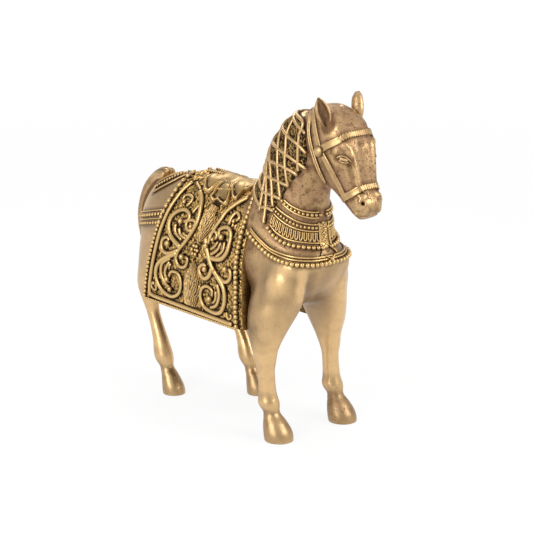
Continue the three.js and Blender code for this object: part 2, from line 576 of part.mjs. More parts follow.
// The outermost skin of the horse at a height, seen from an upright axis at x. Angles start at the front
// and turn to the right side.
const skinMeshes = group.children.filter((mesh) => /torso|neck|leg/.test(mesh.name));
function around(x) {
  const find = (angle, z) => {
    const away = new THREE.Vector3(Math.cos(angle * DEGREE), RIGHT * Math.sin(angle * DEGREE), 0);
    const start = new THREE.Vector3(x, 0, z).addScaledVector(away, 2 * CLOTH_HALF_WIDTH);
    const hit = new THREE.Raycaster(start, away.clone().negate()).intersectObjects(skinMeshes)[0];
    return { at: hit.point, out: hit.face.normal.clone().add(away).normalize() };
  };
  return {
    point: (angle, z, lift = 0) => {
      const { at, out } = find(angle, z);
      return at.addScaledVector(out, lift);
    },
    out: (angle, z) => find(angle, z).out,
  };
}

// Marks of the right side up to the middle line go on over the left side.
const overMiddle = (marks, toLeft) => [...marks, ...marks.slice(0, -1).reverse().map(toLeft)];
const roundFront = (marks) => overMiddle(marks, ([angle, z]) => [-angle, z]);
const roundRear = (marks) => overMiddle(marks, ([angle, z]) => [360 - angle, z]);
const roundFace = (marks) => overMiddle(marks, ([s, turn]) => [s, -turn]);

// The saddle cloth, with a leaf-edged seat pad over its ridge.
layPair("saddle_cloth", clothSide, DARK_BRASS);
const PAD_EDGE = [
  [0.2, 0.5], [0.25, 1.5], [0.304, 2], [0.354, 2.33], [0.39, 2.15], [0.43, 2.6], [0.48, 2.8], [0.54, 2.7],
  [0.6, 2.85], [0.64, 2.2], [0.7, 2.25], [0.76, 2], [0.82, 1.5], [0.88, 1], [0.92, 0.5],
];
const PAD_RIDGE = [[0.2, 0.3], [0.3, 0.9], [0.45, 1], [0.6, 0.75], [0.75, 0.4], [0.92, 0.2]];
function seatPad(grow) {
  const rings = PAD_EDGE.map(([share, edge]) => {
    const place = (part, lift) => {
      const p = cloth.point(share, Math.abs(part) * edge, lift);
      p.y *= Math.sign(part);
      return p;
    };
    const crown = THREE.MathUtils.lerp(PAD_THICKNESS, PAD_RIDGE_THICKNESS, along(PAD_RIDGE, share)) + grow;
    const rim = PAD_THICKNESS + grow;
    const over = [[1, rim], [0.5, (rim + crown) / 2], [0, crown], [-0.5, (rim + crown) / 2], [-1, rim]];
    return [...over, [-1, -1], [0, -1], [1, -1]].map(([part, lift]) => place(part, lift));
  });
  return skin(rings);
}
lay("seat_pad", seatPad, BRIGHT_BRASS);

// The borders of the cloth: rows of beads down its front and rear edges and a raised cord inside them.
const FRONT_BORDER = [0.3, 1, 2, 3, 4, 5, 6, 7, 8, 8.8].map((level) => [0.955, level]);
const REAR_BORDER = [0.9, 2, 3, 4, 5, 6, 7, 8, 8.8].map((level) => [0.022, level]);
const borderBeads = (marks) => beadRow(trail(cloth, marks, 80), CLOTH_BEADS, CLOTH_BEAD_RADIUS);
layPair("front_bead_row", borderBeads(FRONT_BORDER), BRIGHT_BRASS);
layPair("rear_bead_row", borderBeads(REAR_BORDER), BRIGHT_BRASS);
const FRAME = [
  [0.14, 1.7], [0.1, 2.5], [0.078, 3.4], [0.068, 4.3], [0.064, 5.3], [0.065, 6.1], [0.066, 7], [0.066, 7.8],
  [0.068, 8.4], [0.1, 8.66], [0.3, 8.7], [0.6, 8.74], [0.915, 8.78],
];
const frameCord = swept(trail(cloth, FRAME, 24), STRAP, FRAME_CORD_WIDTH, FRAME_CORD_HEIGHT);
layPair("frame_cord", frameCord, BRIGHT_BRASS);

// The scrolls of each side: two branching vines, drawn as they lie on the right side.
const taper = (t) => VINE_WIDTH * (1 - 0.5 * t);
const vine = (marks, count) => swept(trail(cloth, marks, count), RIDGE, taper, VINE_HEIGHT);
const REAR_STEM = [
  [0.283, 2.3], [0.36, 2.76], [0.408, 3.43], [0.436, 4.18], [0.416, 4.86], [0.364, 5.61], [0.311, 6.15],
  [0.304, 6.59], [0.351, 6.89], [0.41, 6.8], [0.424, 6.42], [0.375, 6.35],
];
const REAR_SCROLL = [
  [0.34, 5.95], [0.211, 5.53], [0.146, 5], [0.132, 4.47], [0.174, 4.01], [0.249, 3.8], [0.321, 4.03],
  [0.325, 4.35], [0.265, 4.5],
];
const REAR_CURL = [
  [0.32, 6.1], [0.221, 6.41], [0.15, 6.38], [0.115, 6.1], [0.118, 5.75], [0.16, 5.62], [0.195, 5.9],
];
const REAR_ACANTHUS = [
  [0.31, 6.25], [0.181, 6.72], [0.122, 7.14], [0.119, 7.69], [0.162, 8.15], [0.236, 8.4], [0.315, 8.43],
  [0.377, 8.17], [0.384, 7.65], [0.34, 7.27], [0.27, 7.3], [0.25, 7.7],
];
const FRONT_BLADE = [
  [0.9, 1.75], [0.788, 2.47], [0.706, 3.19], [0.681, 3.77], [0.645, 4.37], [0.622, 4.94], [0.615, 5.42],
];
const FRONT_STEM = [
  [0.582, 4.92], [0.608, 5.42], [0.656, 5.98], [0.693, 6.39], [0.758, 6.75], [0.837, 6.93], [0.887, 6.71],
  [0.89, 6.35], [0.85, 6.3],
];
const FRONT_SCROLL = [
  [0.66, 6], [0.781, 5.9], [0.836, 5.49], [0.848, 4.89], [0.838, 4.4], [0.786, 4.12], [0.715, 4.28],
  [0.71, 4.62], [0.76, 4.72],
];
const FRONT_CURL = [
  [0.7, 6.4], [0.673, 6.88], [0.624, 7.08], [0.576, 6.92], [0.564, 6.63], [0.604, 6.42], [0.635, 6.6],
];
const FRONT_ACANTHUS = [
  [0.71, 6.5], [0.77, 6.83], [0.828, 7.26], [0.843, 7.86], [0.815, 8.32], [0.766, 8.5], [0.691, 8.5],
  [0.623, 8.36], [0.594, 8], [0.606, 7.61], [0.656, 7.43], [0.71, 7.6], [0.7, 7.97],
];
const branching = (vines) => (grow) => joined(vines.map((make) => make(grow)));
const rearVines = [vine(REAR_STEM, 17), vine(REAR_SCROLL, 11), vine(REAR_CURL, 8), vine(REAR_ACANTHUS, 14)];
const frontVines = [
  vine(FRONT_BLADE, 8), vine(FRONT_STEM, 11), vine(FRONT_SCROLL, 11), vine(FRONT_CURL, 8),
  vine(FRONT_ACANTHUS, 15),
];
layPair("rear_scroll", branching(rearVines), BRIGHT_BRASS);
layPair("front_scroll", branching(frontVines), BRIGHT_BRASS);

// The two leaves that stand between the scrolls.
const PLUME = [[0.556, 3.15], [0.545, 3.9], [0.538, 4.6], [0.532, 5.2]];
const PALMETTE = [[0.5, 6.45], [0.495, 7.2], [0.493, 8], [0.496, 8.5]];
const plumeWidth = leafWidth(PLUME_WIDTH, [0.45, 0.9, 1, 0.75, 0.15]);
const palmetteWidth = leafWidth(PALMETTE_WIDTH, [0.1, 0.6, 1, 0.95, 0.8]);
layPair("plume_leaf", swept(trail(cloth, PLUME, 6), LEAF, plumeWidth, LEAF_HEIGHT), BRIGHT_BRASS);
layPair("palmette_leaf", swept(trail(cloth, PALMETTE, 6), LEAF, palmetteWidth, LEAF_HEIGHT), BRIGHT_BRASS);

// The collars hang round the neck and chest. The upper two part at the breast plaque.
const throat = around(THROAT_REACH - 29);
const breast = around(THROAT_REACH - 34);
const shoulder = around(THROAT_REACH - 44);
const PART = 6;
const throatZ = WITHERS_HEIGHT - 7.5;
const THROAT_TOP = [
  [68, throatZ + 10], [52, throatZ + 6.6], [34, throatZ + 4], [19, throatZ + 3], [PART, throatZ + 2.6],
];
const THROAT_LOW = [
  [72, throatZ + 6], [53, throatZ + 2], [35, throatZ - 1], [19, throatZ - 2.6], [PART, throatZ - 3],
];
const between = (top, low) => top.map(([angle, z], i) => [(angle + low[i][0]) / 2, (z + low[i][1]) / 2]);
const lower = (marks, drop) => marks.map(([angle, z]) => [angle, z - drop]);
const breastZ = WITHERS_HEIGHT - 28;
const BREAST_TOP = [
  [72, breastZ + 24.5], [48, breastZ + 19.5], [31, breastZ + 16], [17, breastZ + 14.5], [PART, breastZ + 14],
];
const BREAST_LOW = [
  [79, breastZ + 12.5], [66, breastZ + 8], [46, breastZ + 4], [24, breastZ + 2.4], [PART, breastZ + 1.4],
];
const shoulderZ = WITHERS_HEIGHT - 35.5;
const SHOULDER_TOP = [
  [92, shoulderZ + 16], [69, shoulderZ + 9.5], [57, shoulderZ + 6], [47, shoulderZ + 4], [33, shoulderZ + 2.4],
  [20, shoulderZ + 1.8], [0, shoulderZ + 1.6],
];
const BAND_LIFTS = [COLLAR_RIM, COLLAR_BASE, COLLAR_BASE, COLLAR_RIM];
const FRINGE_LIFTS = [COLLAR_RIM, COLLAR_BASE, COLLAR_RIM, COLLAR_BASE, COLLAR_BASE, COLLAR_RIM];
const hanging = (axis, marks, count, radius, lift = SEAT) =>
  beadRow(trail(axis, marks, 50), count, radius, lift);
const throatLine = between(THROAT_TOP, THROAT_LOW);
const throatBeads = hanging(throat, throatLine, 13, THROAT_BEAD_RADIUS, COLLAR_BASE + SEAT);
const breastBeads = hanging(breast, lower(BREAST_LOW, BREAST_BEAD_DROP), 14, BREAST_BEAD_RADIUS);
const shoulderLine = roundFront(SHOULDER_TOP);
const shoulderBeads = hanging(shoulder, lower(shoulderLine, SHOULDER_BEAD_DROP), 36, SHOULDER_BEAD_RADIUS);
const SHOULDER_LIFTS = [COLLAR_RIM, COLLAR_RIM];
layPair("throat_collar", band(throat, THROAT_TOP, THROAT_LOW, 8, BAND_LIFTS));
layPair("throat_bead_row", throatBeads, BRIGHT_BRASS);
layPair("breast_collar", band(breast, BREAST_TOP, BREAST_LOW, 8, FRINGE_LIFTS));
layPair("breast_bead_row", breastBeads, BRIGHT_BRASS);
const shoulderLow = lower(shoulderLine, SHOULDER_BAND_WIDTH);
lay("shoulder_collar", band(shoulder, shoulderLine, shoulderLow, 20, SHOULDER_LIFTS));
lay("shoulder_bead_row", shoulderBeads, BRIGHT_BRASS);
const PLAQUE = [[0, breastZ + 16], [0, breastZ + 9], [0, breastZ + 1], [0, shoulderZ + 3.2]];
lay("breast_plaque", swept(trail(breast, PLAQUE, 5), RIMMED, PLAQUE_WIDTH, PLAQUE_HEIGHT + 1, -1));

// The bridle: a stud on each cheek joins the browband, the cheek straps and the throat latch.
const BROW = [[2.89, 90], [3.27, 58], [3.32, 30], [3.38, 0]];
const UPPER_CHEEK = [[0.65, 62], [1.47, 78], [2.14, 86], [2.89, 90]];
const LOWER_CHEEK = [[2.89, 90], [3.91, 88], [4.92, 91], [5.95, 96]];
const NOSE = [[6.1, 118], [6.2, 95], [6.38, 67], [6.34, 35], [6.35, 0]];
const LATCH = [[0.75, 84], [1.3, 94], [2.07, 103], [3.04, 110], [3.94, 117], [4.4, 128]];

// A round stud standing on a spot, domed towards its middle.
function stud(spot, radius, height, lift) {
  const sides = 12;
  const side = new THREE.Vector3(0, 0, 1).cross(spot.out).normalize();
  const up = spot.out.clone().cross(side);
  return (grow) =>
    skin(
      [[1, 0], [1, 0.5], [0.6, 1]].map(([size, share]) =>
        Array.from({ length: sides }, (_, k) =>
          spot.at
            .clone()
            .addScaledVector(side, (size * radius + grow) * Math.cos((k * 2 * Math.PI) / sides))
            .addScaledVector(up, (size * radius + grow) * Math.sin((k * 2 * Math.PI) / sides))
            .addScaledVector(spot.out, lift - grow + share * (height + 2 * grow)),
        ),
      ),
    );
}
const strap = (marks, count, width) => swept(trail(head, marks, count), STRAP, width, STRAP_HEIGHT);
const cheek = { at: head.point(...BROW[0]), out: head.out(...BROW[0]) };
layPair("rosette", stud(cheek, ROSETTE_RADIUS, ROSETTE_HEIGHT + 1, -1));
lay("noseband", strap(roundFace(NOSE), 22, STRAP_WIDTH));
lay("browband", strap(roundFace(BROW), 18, STRAP_WIDTH));
layPair("upper_cheek_strap", strap(UPPER_CHEEK, 7, STRAP_WIDTH));
layPair("lower_cheek_strap", strap(LOWER_CHEEK, 7, STRAP_WIDTH));
layPair("throat_latch", strap(LATCH, 12, LATCH_WIDTH));

// The mane lies in a dark bed over the crest, under a net of strands that all end on one along the crest.
const BED_EDGE = [
  [7.6, 100], [7.2, 82], [6.6, 66], [6, 58], [5.4, 60], [4.8, 68], [4.2, 74], [3.4, 82], [2.7, 87], [2.1, 90],
];
function maneBed(grow) {
  const reach = NECK_HALF_WIDTH / 2;
  const turns = [0, 0.25, 0.5, 0.75, 1];
  const rings = BED_EDGE.map(([s, turn]) => {
    const place = (t, lift) => neck.point(s, turn + (360 - 2 * turn) * t, lift);
    return [...turns.map((t) => place(t, reach)), ...turns.map((t) => place(1 - t, -reach))];
  });
  return shared(neck.solid(NECK_SIDES, 1, MANE_THICKNESS + GAP + grow), skin(rings));
}
lay("mane_bed", maneBed, DARK_BRASS);
const NET = [
  [[7.6, 172], [6.8, 172], [6, 172], [5.2, 172], [4.4, 172], [3.6, 172]],
  [[7.55, 120], [7, 89], [6.38, 79], [5.5, 66]],
  [[7.3, 172], [6.55, 116], [5.92, 100], [4.4, 76]],
  [[6.4, 172], [6.27, 141], [5.53, 116], [4.71, 98], [3.5, 82]],
  [[5.4, 172], [5.2, 150], [4.64, 126], [3.72, 102], [2.85, 88]],
  [[4.5, 172], [4.3, 142], [3.8, 123], [2.85, 102], [2.1, 93]],
  [[7.5, 172], [7.45, 135], [7.3, 100], [7.1, 84]],
  [[6.8, 172], [6.5, 142], [6.62, 90], [6.46, 66]],
  [[5.7, 172], [5.4, 150], [5.75, 93], [5.76, 58]],
  [[4.8, 172], [4.55, 139], [5.02, 97], [5.2, 68]],
  [[4, 172], [3.75, 133], [4.16, 93], [4.35, 74]],
  [[3.3, 172], [3.05, 120], [3.27, 97], [3.46, 82]],
];
const netLift = MANE_THICKNESS + 2 * SEAT;
const netStrand = (marks) =>
  swept(trail(neck, marks, 2 * marks.length - 2), RIDGE, NET_STRAND_WIDTH, NET_STRAND_HEIGHT, netLift);
layPair("mane_net", branching(NET.map(netStrand)), BRIGHT_BRASS);

// The crupper straps part round the root of the tail, and the breeching passes behind the rump under it.
const CRUPPER = [[3.75, 12], [3.4, 18], [3.05, 30], [2.75, 40]];
const crupperBeads = trail(torso, CRUPPER.map(([s, turn]) => [s - 0.1, turn - 8]), 20);
layPair("crupper_strap", swept(trail(torso, CRUPPER, 8), STRAP, LATCH_WIDTH, STRAP_HEIGHT));
layPair("crupper_bead_row", beadRow(crupperBeads, 8, HARNESS_BEAD_RADIUS), BRIGHT_BRASS);
const rump = around(-RUMP_REACH + 32);
const rumpZ = TAIL_ROOT_HEIGHT - 31;
const UPPER_BREECHING = roundRear([
  [102, rumpZ + 8], [125, rumpZ + 5], [151, rumpZ + 1.6], [180, rumpZ],
]);
const LOWER_BREECHING = roundRear([
  [108, rumpZ + 2.5], [130, rumpZ - 0.5], [151, rumpZ - 4], [180, rumpZ - 5.5],
]);
const breechingTrail = trail(rump, between(UPPER_BREECHING, LOWER_BREECHING), 16);
const breechingBeads = (marks) => beadRow(trail(rump, marks, 40), 24, HARNESS_BEAD_RADIUS);
lay("breeching_strap", swept(breechingTrail, STRAP, BREECHING_WIDTH, STRAP_HEIGHT));
lay("upper_breeching_beads", breechingBeads(UPPER_BREECHING), BRIGHT_BRASS);
lay("lower_breeching_beads", breechingBeads(LOWER_BREECHING), BRIGHT_BRASS);

// The finished group is set down with the middle of its outline box over the origin.
const box = new THREE.Box3().setFromObject(group);
group.position.set(-(box.min.x + box.max.x) / 2, -(box.min.y + box.max.y) / 2, -box.min.z);

export default group;
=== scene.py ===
"""Brass horse figurine in festival dress, as it is built up: the horse, its saddle cloth and trimmings, its
collars, bridle, netted mane and crupper. Sizes are in millimetres, measured as the solid model's are: x from
the plane at the saddle's front, y to the horse's left, z up from the soles."""
import math
import random
from collections import namedtuple

import bmesh
import bpy
import numpy as np
from mathutils import Matrix, Vector, noise
from mathutils.bvhtree import BVHTree
from mathutils.kdtree import KDTree


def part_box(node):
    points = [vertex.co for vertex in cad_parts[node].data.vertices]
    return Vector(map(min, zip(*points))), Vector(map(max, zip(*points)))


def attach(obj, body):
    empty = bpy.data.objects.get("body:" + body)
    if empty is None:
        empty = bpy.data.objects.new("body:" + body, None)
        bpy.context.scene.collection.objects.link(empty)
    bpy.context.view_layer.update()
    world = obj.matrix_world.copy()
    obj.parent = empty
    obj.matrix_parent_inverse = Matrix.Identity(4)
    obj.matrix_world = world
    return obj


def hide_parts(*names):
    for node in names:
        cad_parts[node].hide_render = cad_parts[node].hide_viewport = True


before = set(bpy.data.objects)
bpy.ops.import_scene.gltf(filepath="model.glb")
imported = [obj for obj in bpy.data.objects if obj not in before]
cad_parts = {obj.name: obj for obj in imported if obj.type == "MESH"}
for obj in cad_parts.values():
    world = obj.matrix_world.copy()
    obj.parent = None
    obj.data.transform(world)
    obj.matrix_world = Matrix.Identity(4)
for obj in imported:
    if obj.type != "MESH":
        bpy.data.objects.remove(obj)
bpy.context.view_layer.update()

# The studio: a pale floor that runs on into a white room, three soft lamp boxes, and a long lens at the
# height of a seated viewer, ahead of the horse and to its right.
VIEW_AZIMUTH = math.radians(49)
VIEW_ELEVATION = math.radians(15.4)
VIEW_DISTANCE = 1.291
VIEW_LENS = 128.33
VIEW_HEIGHT = 0.1048
FRONT_OF_SADDLE = 0.017147


def toward(azimuth, elevation):
    """The direction from the figure to a viewer at that azimuth and elevation."""
    level = math.cos(elevation)
    return Vector((math.sin(azimuth) * level, -math.cos(azimuth) * level, math.sin(elevation)))


def aimed(obj, place, target):
    obj.location = place
    obj.rotation_euler = (target - place).to_track_quat("-Z", "Y").to_euler()
    bpy.context.scene.collection.objects.link(obj)


look_at = Vector((FRONT_OF_SADDLE, 0, VIEW_HEIGHT))
camera = bpy.data.objects.new("camera", bpy.data.cameras.new("camera"))
camera.data.lens = VIEW_LENS
camera.data.clip_start = 0.01
aimed(camera, look_at + VIEW_DISTANCE * toward(VIEW_AZIMUTH, VIEW_ELEVATION), look_at)
bpy.context.scene.camera = camera

for name, azimuth, elevation, distance, size, watts in (
    ("key_box", 6, 27, 0.75, 0.42, 3.1),
    ("side_box", 114, 33, 0.8, 0.4, 2.7),
    ("rim_box", 240, 48, 0.8, 0.3, 1.6),
):
    lamp = bpy.data.objects.new(name, bpy.data.lights.new(name, "AREA"))
    lamp.data.size = size
    lamp.data.energy = watts
    away = toward(math.radians(azimuth), math.radians(elevation))
    aimed(lamp, look_at + distance * away, look_at)


class Shade:
    """One output of a finish's nodes. Sums and products of shades add their Math nodes."""

    def __init__(self, finish, socket):
        self.finish = finish
        self.socket = socket

    def reckon(self, operation, *terms):
        return self.finish.node("Math", {"operation": operation}, dict(enumerate(terms)))

    def __add__(self, other):
        return self.reckon("ADD", self, other)

    __radd__ = __add__

    def __sub__(self, other):
        return self.reckon("SUBTRACT", self, other)

    def __rsub__(self, other):
        return self.reckon("SUBTRACT", other, self)

    def __mul__(self, other):
        return self.reckon("MULTIPLY", self, other)

    __rmul__ = __mul__

    def __pow__(self, other):
        return self.reckon("POWER", self, other)

    def between(self, low, high):
        """0 below low, 1 above high and even between them."""
        values = {"Value": self, "From Min": low, "From Max": high}
        return self.finish.node("MapRange", {"clamp": True}, values)


class Finish:
    """The nodes of a material or of the room, and the one way that they are made."""

    def __init__(self, owner, shader="BsdfPrincipled", output="OutputMaterial"):
        self.owner = owner
        owner.use_nodes = True
        self.tree = owner.node_tree
        self.tree.nodes.clear()
        top = self.tree.nodes.new("ShaderNode" + output)
        self.shader = self.node(shader)
        self.tree.links.new(self.shader.socket, top.inputs["Surface"])

    def node(self, kind, settings=None, values=None, output=0):
        made = self.tree.nodes.new("ShaderNode" + kind)
        for key, value in (settings or {}).items():
            setattr(made, key, value)
        self.fill(made, values or {})
        return Shade(self, made.outputs[output])

    def fill(self, made, values):
        for key, value in values.items():
            if isinstance(value, Shade):
                self.tree.links.new(value.socket, made.inputs[key])
            else:
                made.inputs[key].default_value = value

    def shaded(self, values):
        self.fill(self.shader.socket.node, values)
        return self.owner

    def blend(self, factor, first, second):
        """A colour that goes from the first to the second."""
        values = {"Factor": factor, 6: first, 7: second}
        return self.node("Mix", {"data_type": "RGBA"}, values, output=2)


WHITE = (1, 1, 1, 1)
SWEEP_TOP = 0.14
WALL_SHADE = 0.5
CEILING_FOOT = 0.4
CEILING_LIGHT = 0.5
room = Finish(bpy.data.worlds.new("white_room"), "Background", "OutputWorld")
ahead = room.node("TexCoord", output="Generated")
height = room.node("SeparateXYZ", None, {"Vector": ahead}, output="Z")
walls = WALL_SHADE * height.between(SWEEP_TOP, 2 * SWEEP_TOP)
ceiling = CEILING_LIGHT * height.between(CEILING_FOOT, 1)
room.shaded({"Color": WHITE, "Strength": 1 - walls + ceiling})
bpy.context.scene.world = room.owner

FLOOR_REACH = 2.5
FLOOR_SHADE = 0.86
SHADE_FADES = 0.25, 1.2
floor_bm = bmesh.new()
bmesh.ops.create_circle(floor_bm, cap_ends=True, segments=96, radius=FLOOR_REACH)
floor_mesh = bpy.data.meshes.new("floor")
floor_bm.to_mesh(floor_mesh)
floor = bpy.data.objects.new("floor", floor_mesh)
bpy.context.scene.collection.objects.link(floor)
paper = Finish(bpy.data.materials.new("white_paper"), "MixShader")
on_floor = paper.node("TexCoord", output="Object")
distance = paper.node("VectorMath", {"operation": "LENGTH"}, {0: on_floor}, output="Value")
camera_ray = paper.node("LightPath", output="Is Camera Ray")
glossy_ray = paper.node("LightPath", output="Is Glossy Ray")
clear_ray = paper.node("LightPath", output="Is Transmission Ray")
looked_at = (camera_ray + glossy_ray + clear_ray).between(0, 1)
matt = paper.node("BsdfDiffuse", None, {"Color": (FLOOR_SHADE, FLOOR_SHADE, FLOOR_SHADE, 1)})
glow = paper.node("Emission", None, {"Color": WHITE})
share_of_glow = FLOOR_SHADE + (1 - FLOOR_SHADE) * distance.between(*SHADE_FADES)
paper.shaded({0: looked_at * share_of_glow, 1: matt, 2: glow})
floor.data.materials.append(paper.owner)


# The horse: torso, neck and head are modelled over a core and the legs pressed on, and all are cast as one
# piece of brass. The first three are lofted through cuts, each given by two outline points and a half width.
MM = 0.001
WITHERS = 159.5
CHEST = 62
POLL = 226
NOSE = 104
CHIN = 155.5
THROAT = 59
RUMP = -119
ORIGIN_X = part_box("torso")[1].x / MM - (CHEST + 1)
IN_FRAME = Matrix.Scale(MM, 4) @ Matrix.Translation((ORIGIN_X, 0, 0))


def smooth(values, s):
    """A smooth number through given values, one for each whole step of s."""
    last = len(values) - 1
    i = min(max(math.floor(s), 0), last - 1)
    t = s - i
    a, b, c, d = (values[min(max(k, 0), last)] for k in (i - 1, i, i + 1, i + 2))
    bend = (2 * a - 5 * b + 4 * c - d) * t + (3 * b - a - 3 * c + d) * t * t
    return b + 0.5 * t * (c - a + bend)


class Limb:
    """A loft. Turn is 0 at a cut's first outline point, 90 on the right flank and 180 at the second point."""

    def __init__(self, cuts, first_fullness, second_fullness):
        self.fields = list(zip(*cuts))
        self.last = len(cuts) - 1
        self.fullness = first_fullness, second_fullness

    def raw(self, s, turn):
        x1, z1, x2, z2, half = (smooth(field, s) for field in self.fields)
        angle = math.radians(turn)
        power = self.fullness[0 if math.cos(angle) > 0 else 1]
        reach = math.copysign(abs(math.cos(angle)) ** power, math.cos(angle)) / 2
        side = math.copysign(abs(math.sin(angle)) ** power, math.sin(angle))
        x = (x1 + x2) / 2 + reach * (x1 - x2)
        z = (z1 + z2) / 2 + reach * (z1 - z2)
        return Vector((x, -side * half, z))

    def out(self, s, turn):
        low = max(s - 0.05, 0)
        high = min(s + 0.05, self.last)
        lengthways = self.raw(high, turn) - self.raw(low, turn)
        normal = (self.raw(s, turn + 2) - self.raw(s, turn - 2)).cross(lengthways).normalized()
        centre = (self.raw(s, 0) + self.raw(s, 180)) / 2
        return -normal if normal.dot(self.raw(s, turn) - centre) < 0 else normal

    def spot(self, s, turn):
        return Spot(metal.find_nearest(self.raw(s, turn))[0], self.out(s, turn))


Spot = namedtuple("Spot", "at out")
torso = Limb([
    (RUMP, 131, RUMP, 98.5, 8.5),
    (RUMP + 4, 143, RUMP + 4, 91.5, 18),
    (RUMP + 13, 151, RUMP + 13, 87.5, 24.5),
    (RUMP + 30, 156, RUMP + 30, 86.5, 27.5),
    (-66, 157, -66, 89.5, 27),
    (-40, 155, -40, 90.5, 27.5),
    (-14, 157, -14, 89.5, 27),
    (8, WITHERS - 2, 8, 86.5, 28.5),
    (CHEST - 32, WITHERS - 7, CHEST - 32, 85.5, 28),
    (CHEST - 18, WITHERS - 16, CHEST - 18, 90.5, 27),
    (CHEST - 7, WITHERS - 25, CHEST - 7, 99.5, 24),
    (CHEST - 1, WITHERS - 31, CHEST - 1, 110.5, 16),
    (CHEST + 1, WITHERS - 37, CHEST + 1, 118.5, 8),
], 1.2, 0.85)
neck = Limb([
    (THROAT - 8, WITHERS - 60, -26, WITHERS - 24, 24),
    (THROAT - 1, WITHERS - 43, -16, WITHERS - 7, 27),
    (THROAT - 2, WITHERS - 27, -6, WITHERS + 1, 22.5),
    (THROAT - 3, WITHERS - 13, 2, WITHERS + 10, 19),
    (THROAT - 3, WITHERS - 1, 7.5, WITHERS + 22, 16.5),
    (THROAT, POLL - 55, 11.5, POLL - 34, 15.5),
    (THROAT + 4, POLL - 43, 18.5, POLL - 23.5, 14),
    (THROAT + 9, POLL - 29, 28, POLL - 14.5, 13),
    (THROAT + 14, POLL - 16, 39, POLL - 8, 11),
], 0.92, 1.08)
head = Limb([
    (NOSE - 51, POLL - 2, NOSE - 61, POLL - 15, 9),
    (NOSE - 39, POLL, NOSE - 56, POLL - 27, 13.6),
    (NOSE - 27, POLL - 3, NOSE - 52, POLL - 38, 16),
    (NOSE - 17, POLL - 11, NOSE - 47, POLL - 46, 17),
    (NOSE - 11.5, POLL - 23, NOSE - 40, POLL - 52, 16.6),
    (NOSE - 8.5, POLL - 35, NOSE - 32, POLL - 56, 13.2),
    (NOSE - 6.5, CHIN + 25, NOSE - 24.5, CHIN + 9.5, 11),
    (NOSE - 3, CHIN + 18, NOSE - 18.5, CHIN + 5.5, 10.3),
    (NOSE, CHIN + 11.5, NOSE - 13.5, CHIN + 2.5, 10),
    (NOSE - 1.5, CHIN + 4, NOSE - 9, CHIN, 6.5),
], 0.72, 1)


def loft(bm, limb, rounds=64, steps_per_cut=6):
    """The limb's skin: a sheet of small squares that is rolled up lengthways and closed at both ends."""
    steps = limb.last * steps_per_cut
    sheet = bmesh.ops.create_grid(bm, x_segments=steps, y_segments=rounds, size=1)["verts"]
    for vert in sheet:
        vert.co = limb.raw(limb.last * (vert.co.x + 1) / 2, 180 * (vert.co.y + 1))
    bmesh.ops.remove_doubles(bm, verts=sheet, dist=1e-4)
    rim = [edge for edge in bm.edges if edge.is_boundary]
    bmesh.ops.holes_fill(bm, edges=rim, sides=0)


def object_of(name, bm):
    mesh = bpy.data.meshes.new(name)
    bm.to_mesh(mesh)
    bm.free()
    obj = bpy.data.objects.new(name, mesh)
    bpy.context.scene.collection.objects.link(obj)
    return obj


def applied(obj, kind, **settings):
    """Puts a modifier on a piece and applies it."""
    modifier = obj.modifiers.new(kind.lower(), kind)
    for key, value in settings.items():
        setattr(modifier, key, value)
    shaped = bpy.data.meshes.new_from_object(obj.evaluated_get(bpy.context.evaluated_depsgraph_get()))
    obj.modifiers.clear()
    obj.data = shaped
    return obj


def rounded_copy(bm, node, tighten, cuts):
    """A smooth copy of a solid whose faces lie in rings. Tightening it first keeps its size as it rounds."""
    piece = bmesh.new()
    piece.from_mesh(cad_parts[node].data)
    bmesh.ops.transform(piece, matrix=IN_FRAME.inverted(), verts=piece.verts)
    bmesh.ops.remove_doubles(piece, verts=piece.verts, dist=1e-3)
    flat = dict(angle_face_threshold=math.radians(60), angle_shape_threshold=math.radians(90))
    bmesh.ops.join_triangles(piece, faces=piece.faces, **flat)
    axes = dict(use_axis_x=True, use_axis_y=True, use_axis_z=True)
    bmesh.ops.smooth_vert(piece, verts=piece.verts, factor=-tighten, **axes)
    obj = applied(object_of("rounded", piece), "SUBSURF", levels=cuts, render_levels=cuts)
    bm.from_mesh(obj.data)
    bpy.data.objects.remove(obj)


LEGS = "front_right_leg", "front_left_leg", "hind_right_leg", "hind_left_leg"
VOXEL = 1.0
core = bmesh.new()
for limb in (torso, neck, head):
    loft(core, limb)
for node in LEGS:
    rounded_copy(core, node, tighten=0.7, cuts=3)
bmesh.ops.recalc_face_normals(core, faces=core.faces)
horse = applied(object_of("horse", core), "REMESH", mode="VOXEL", voxel_size=VOXEL)


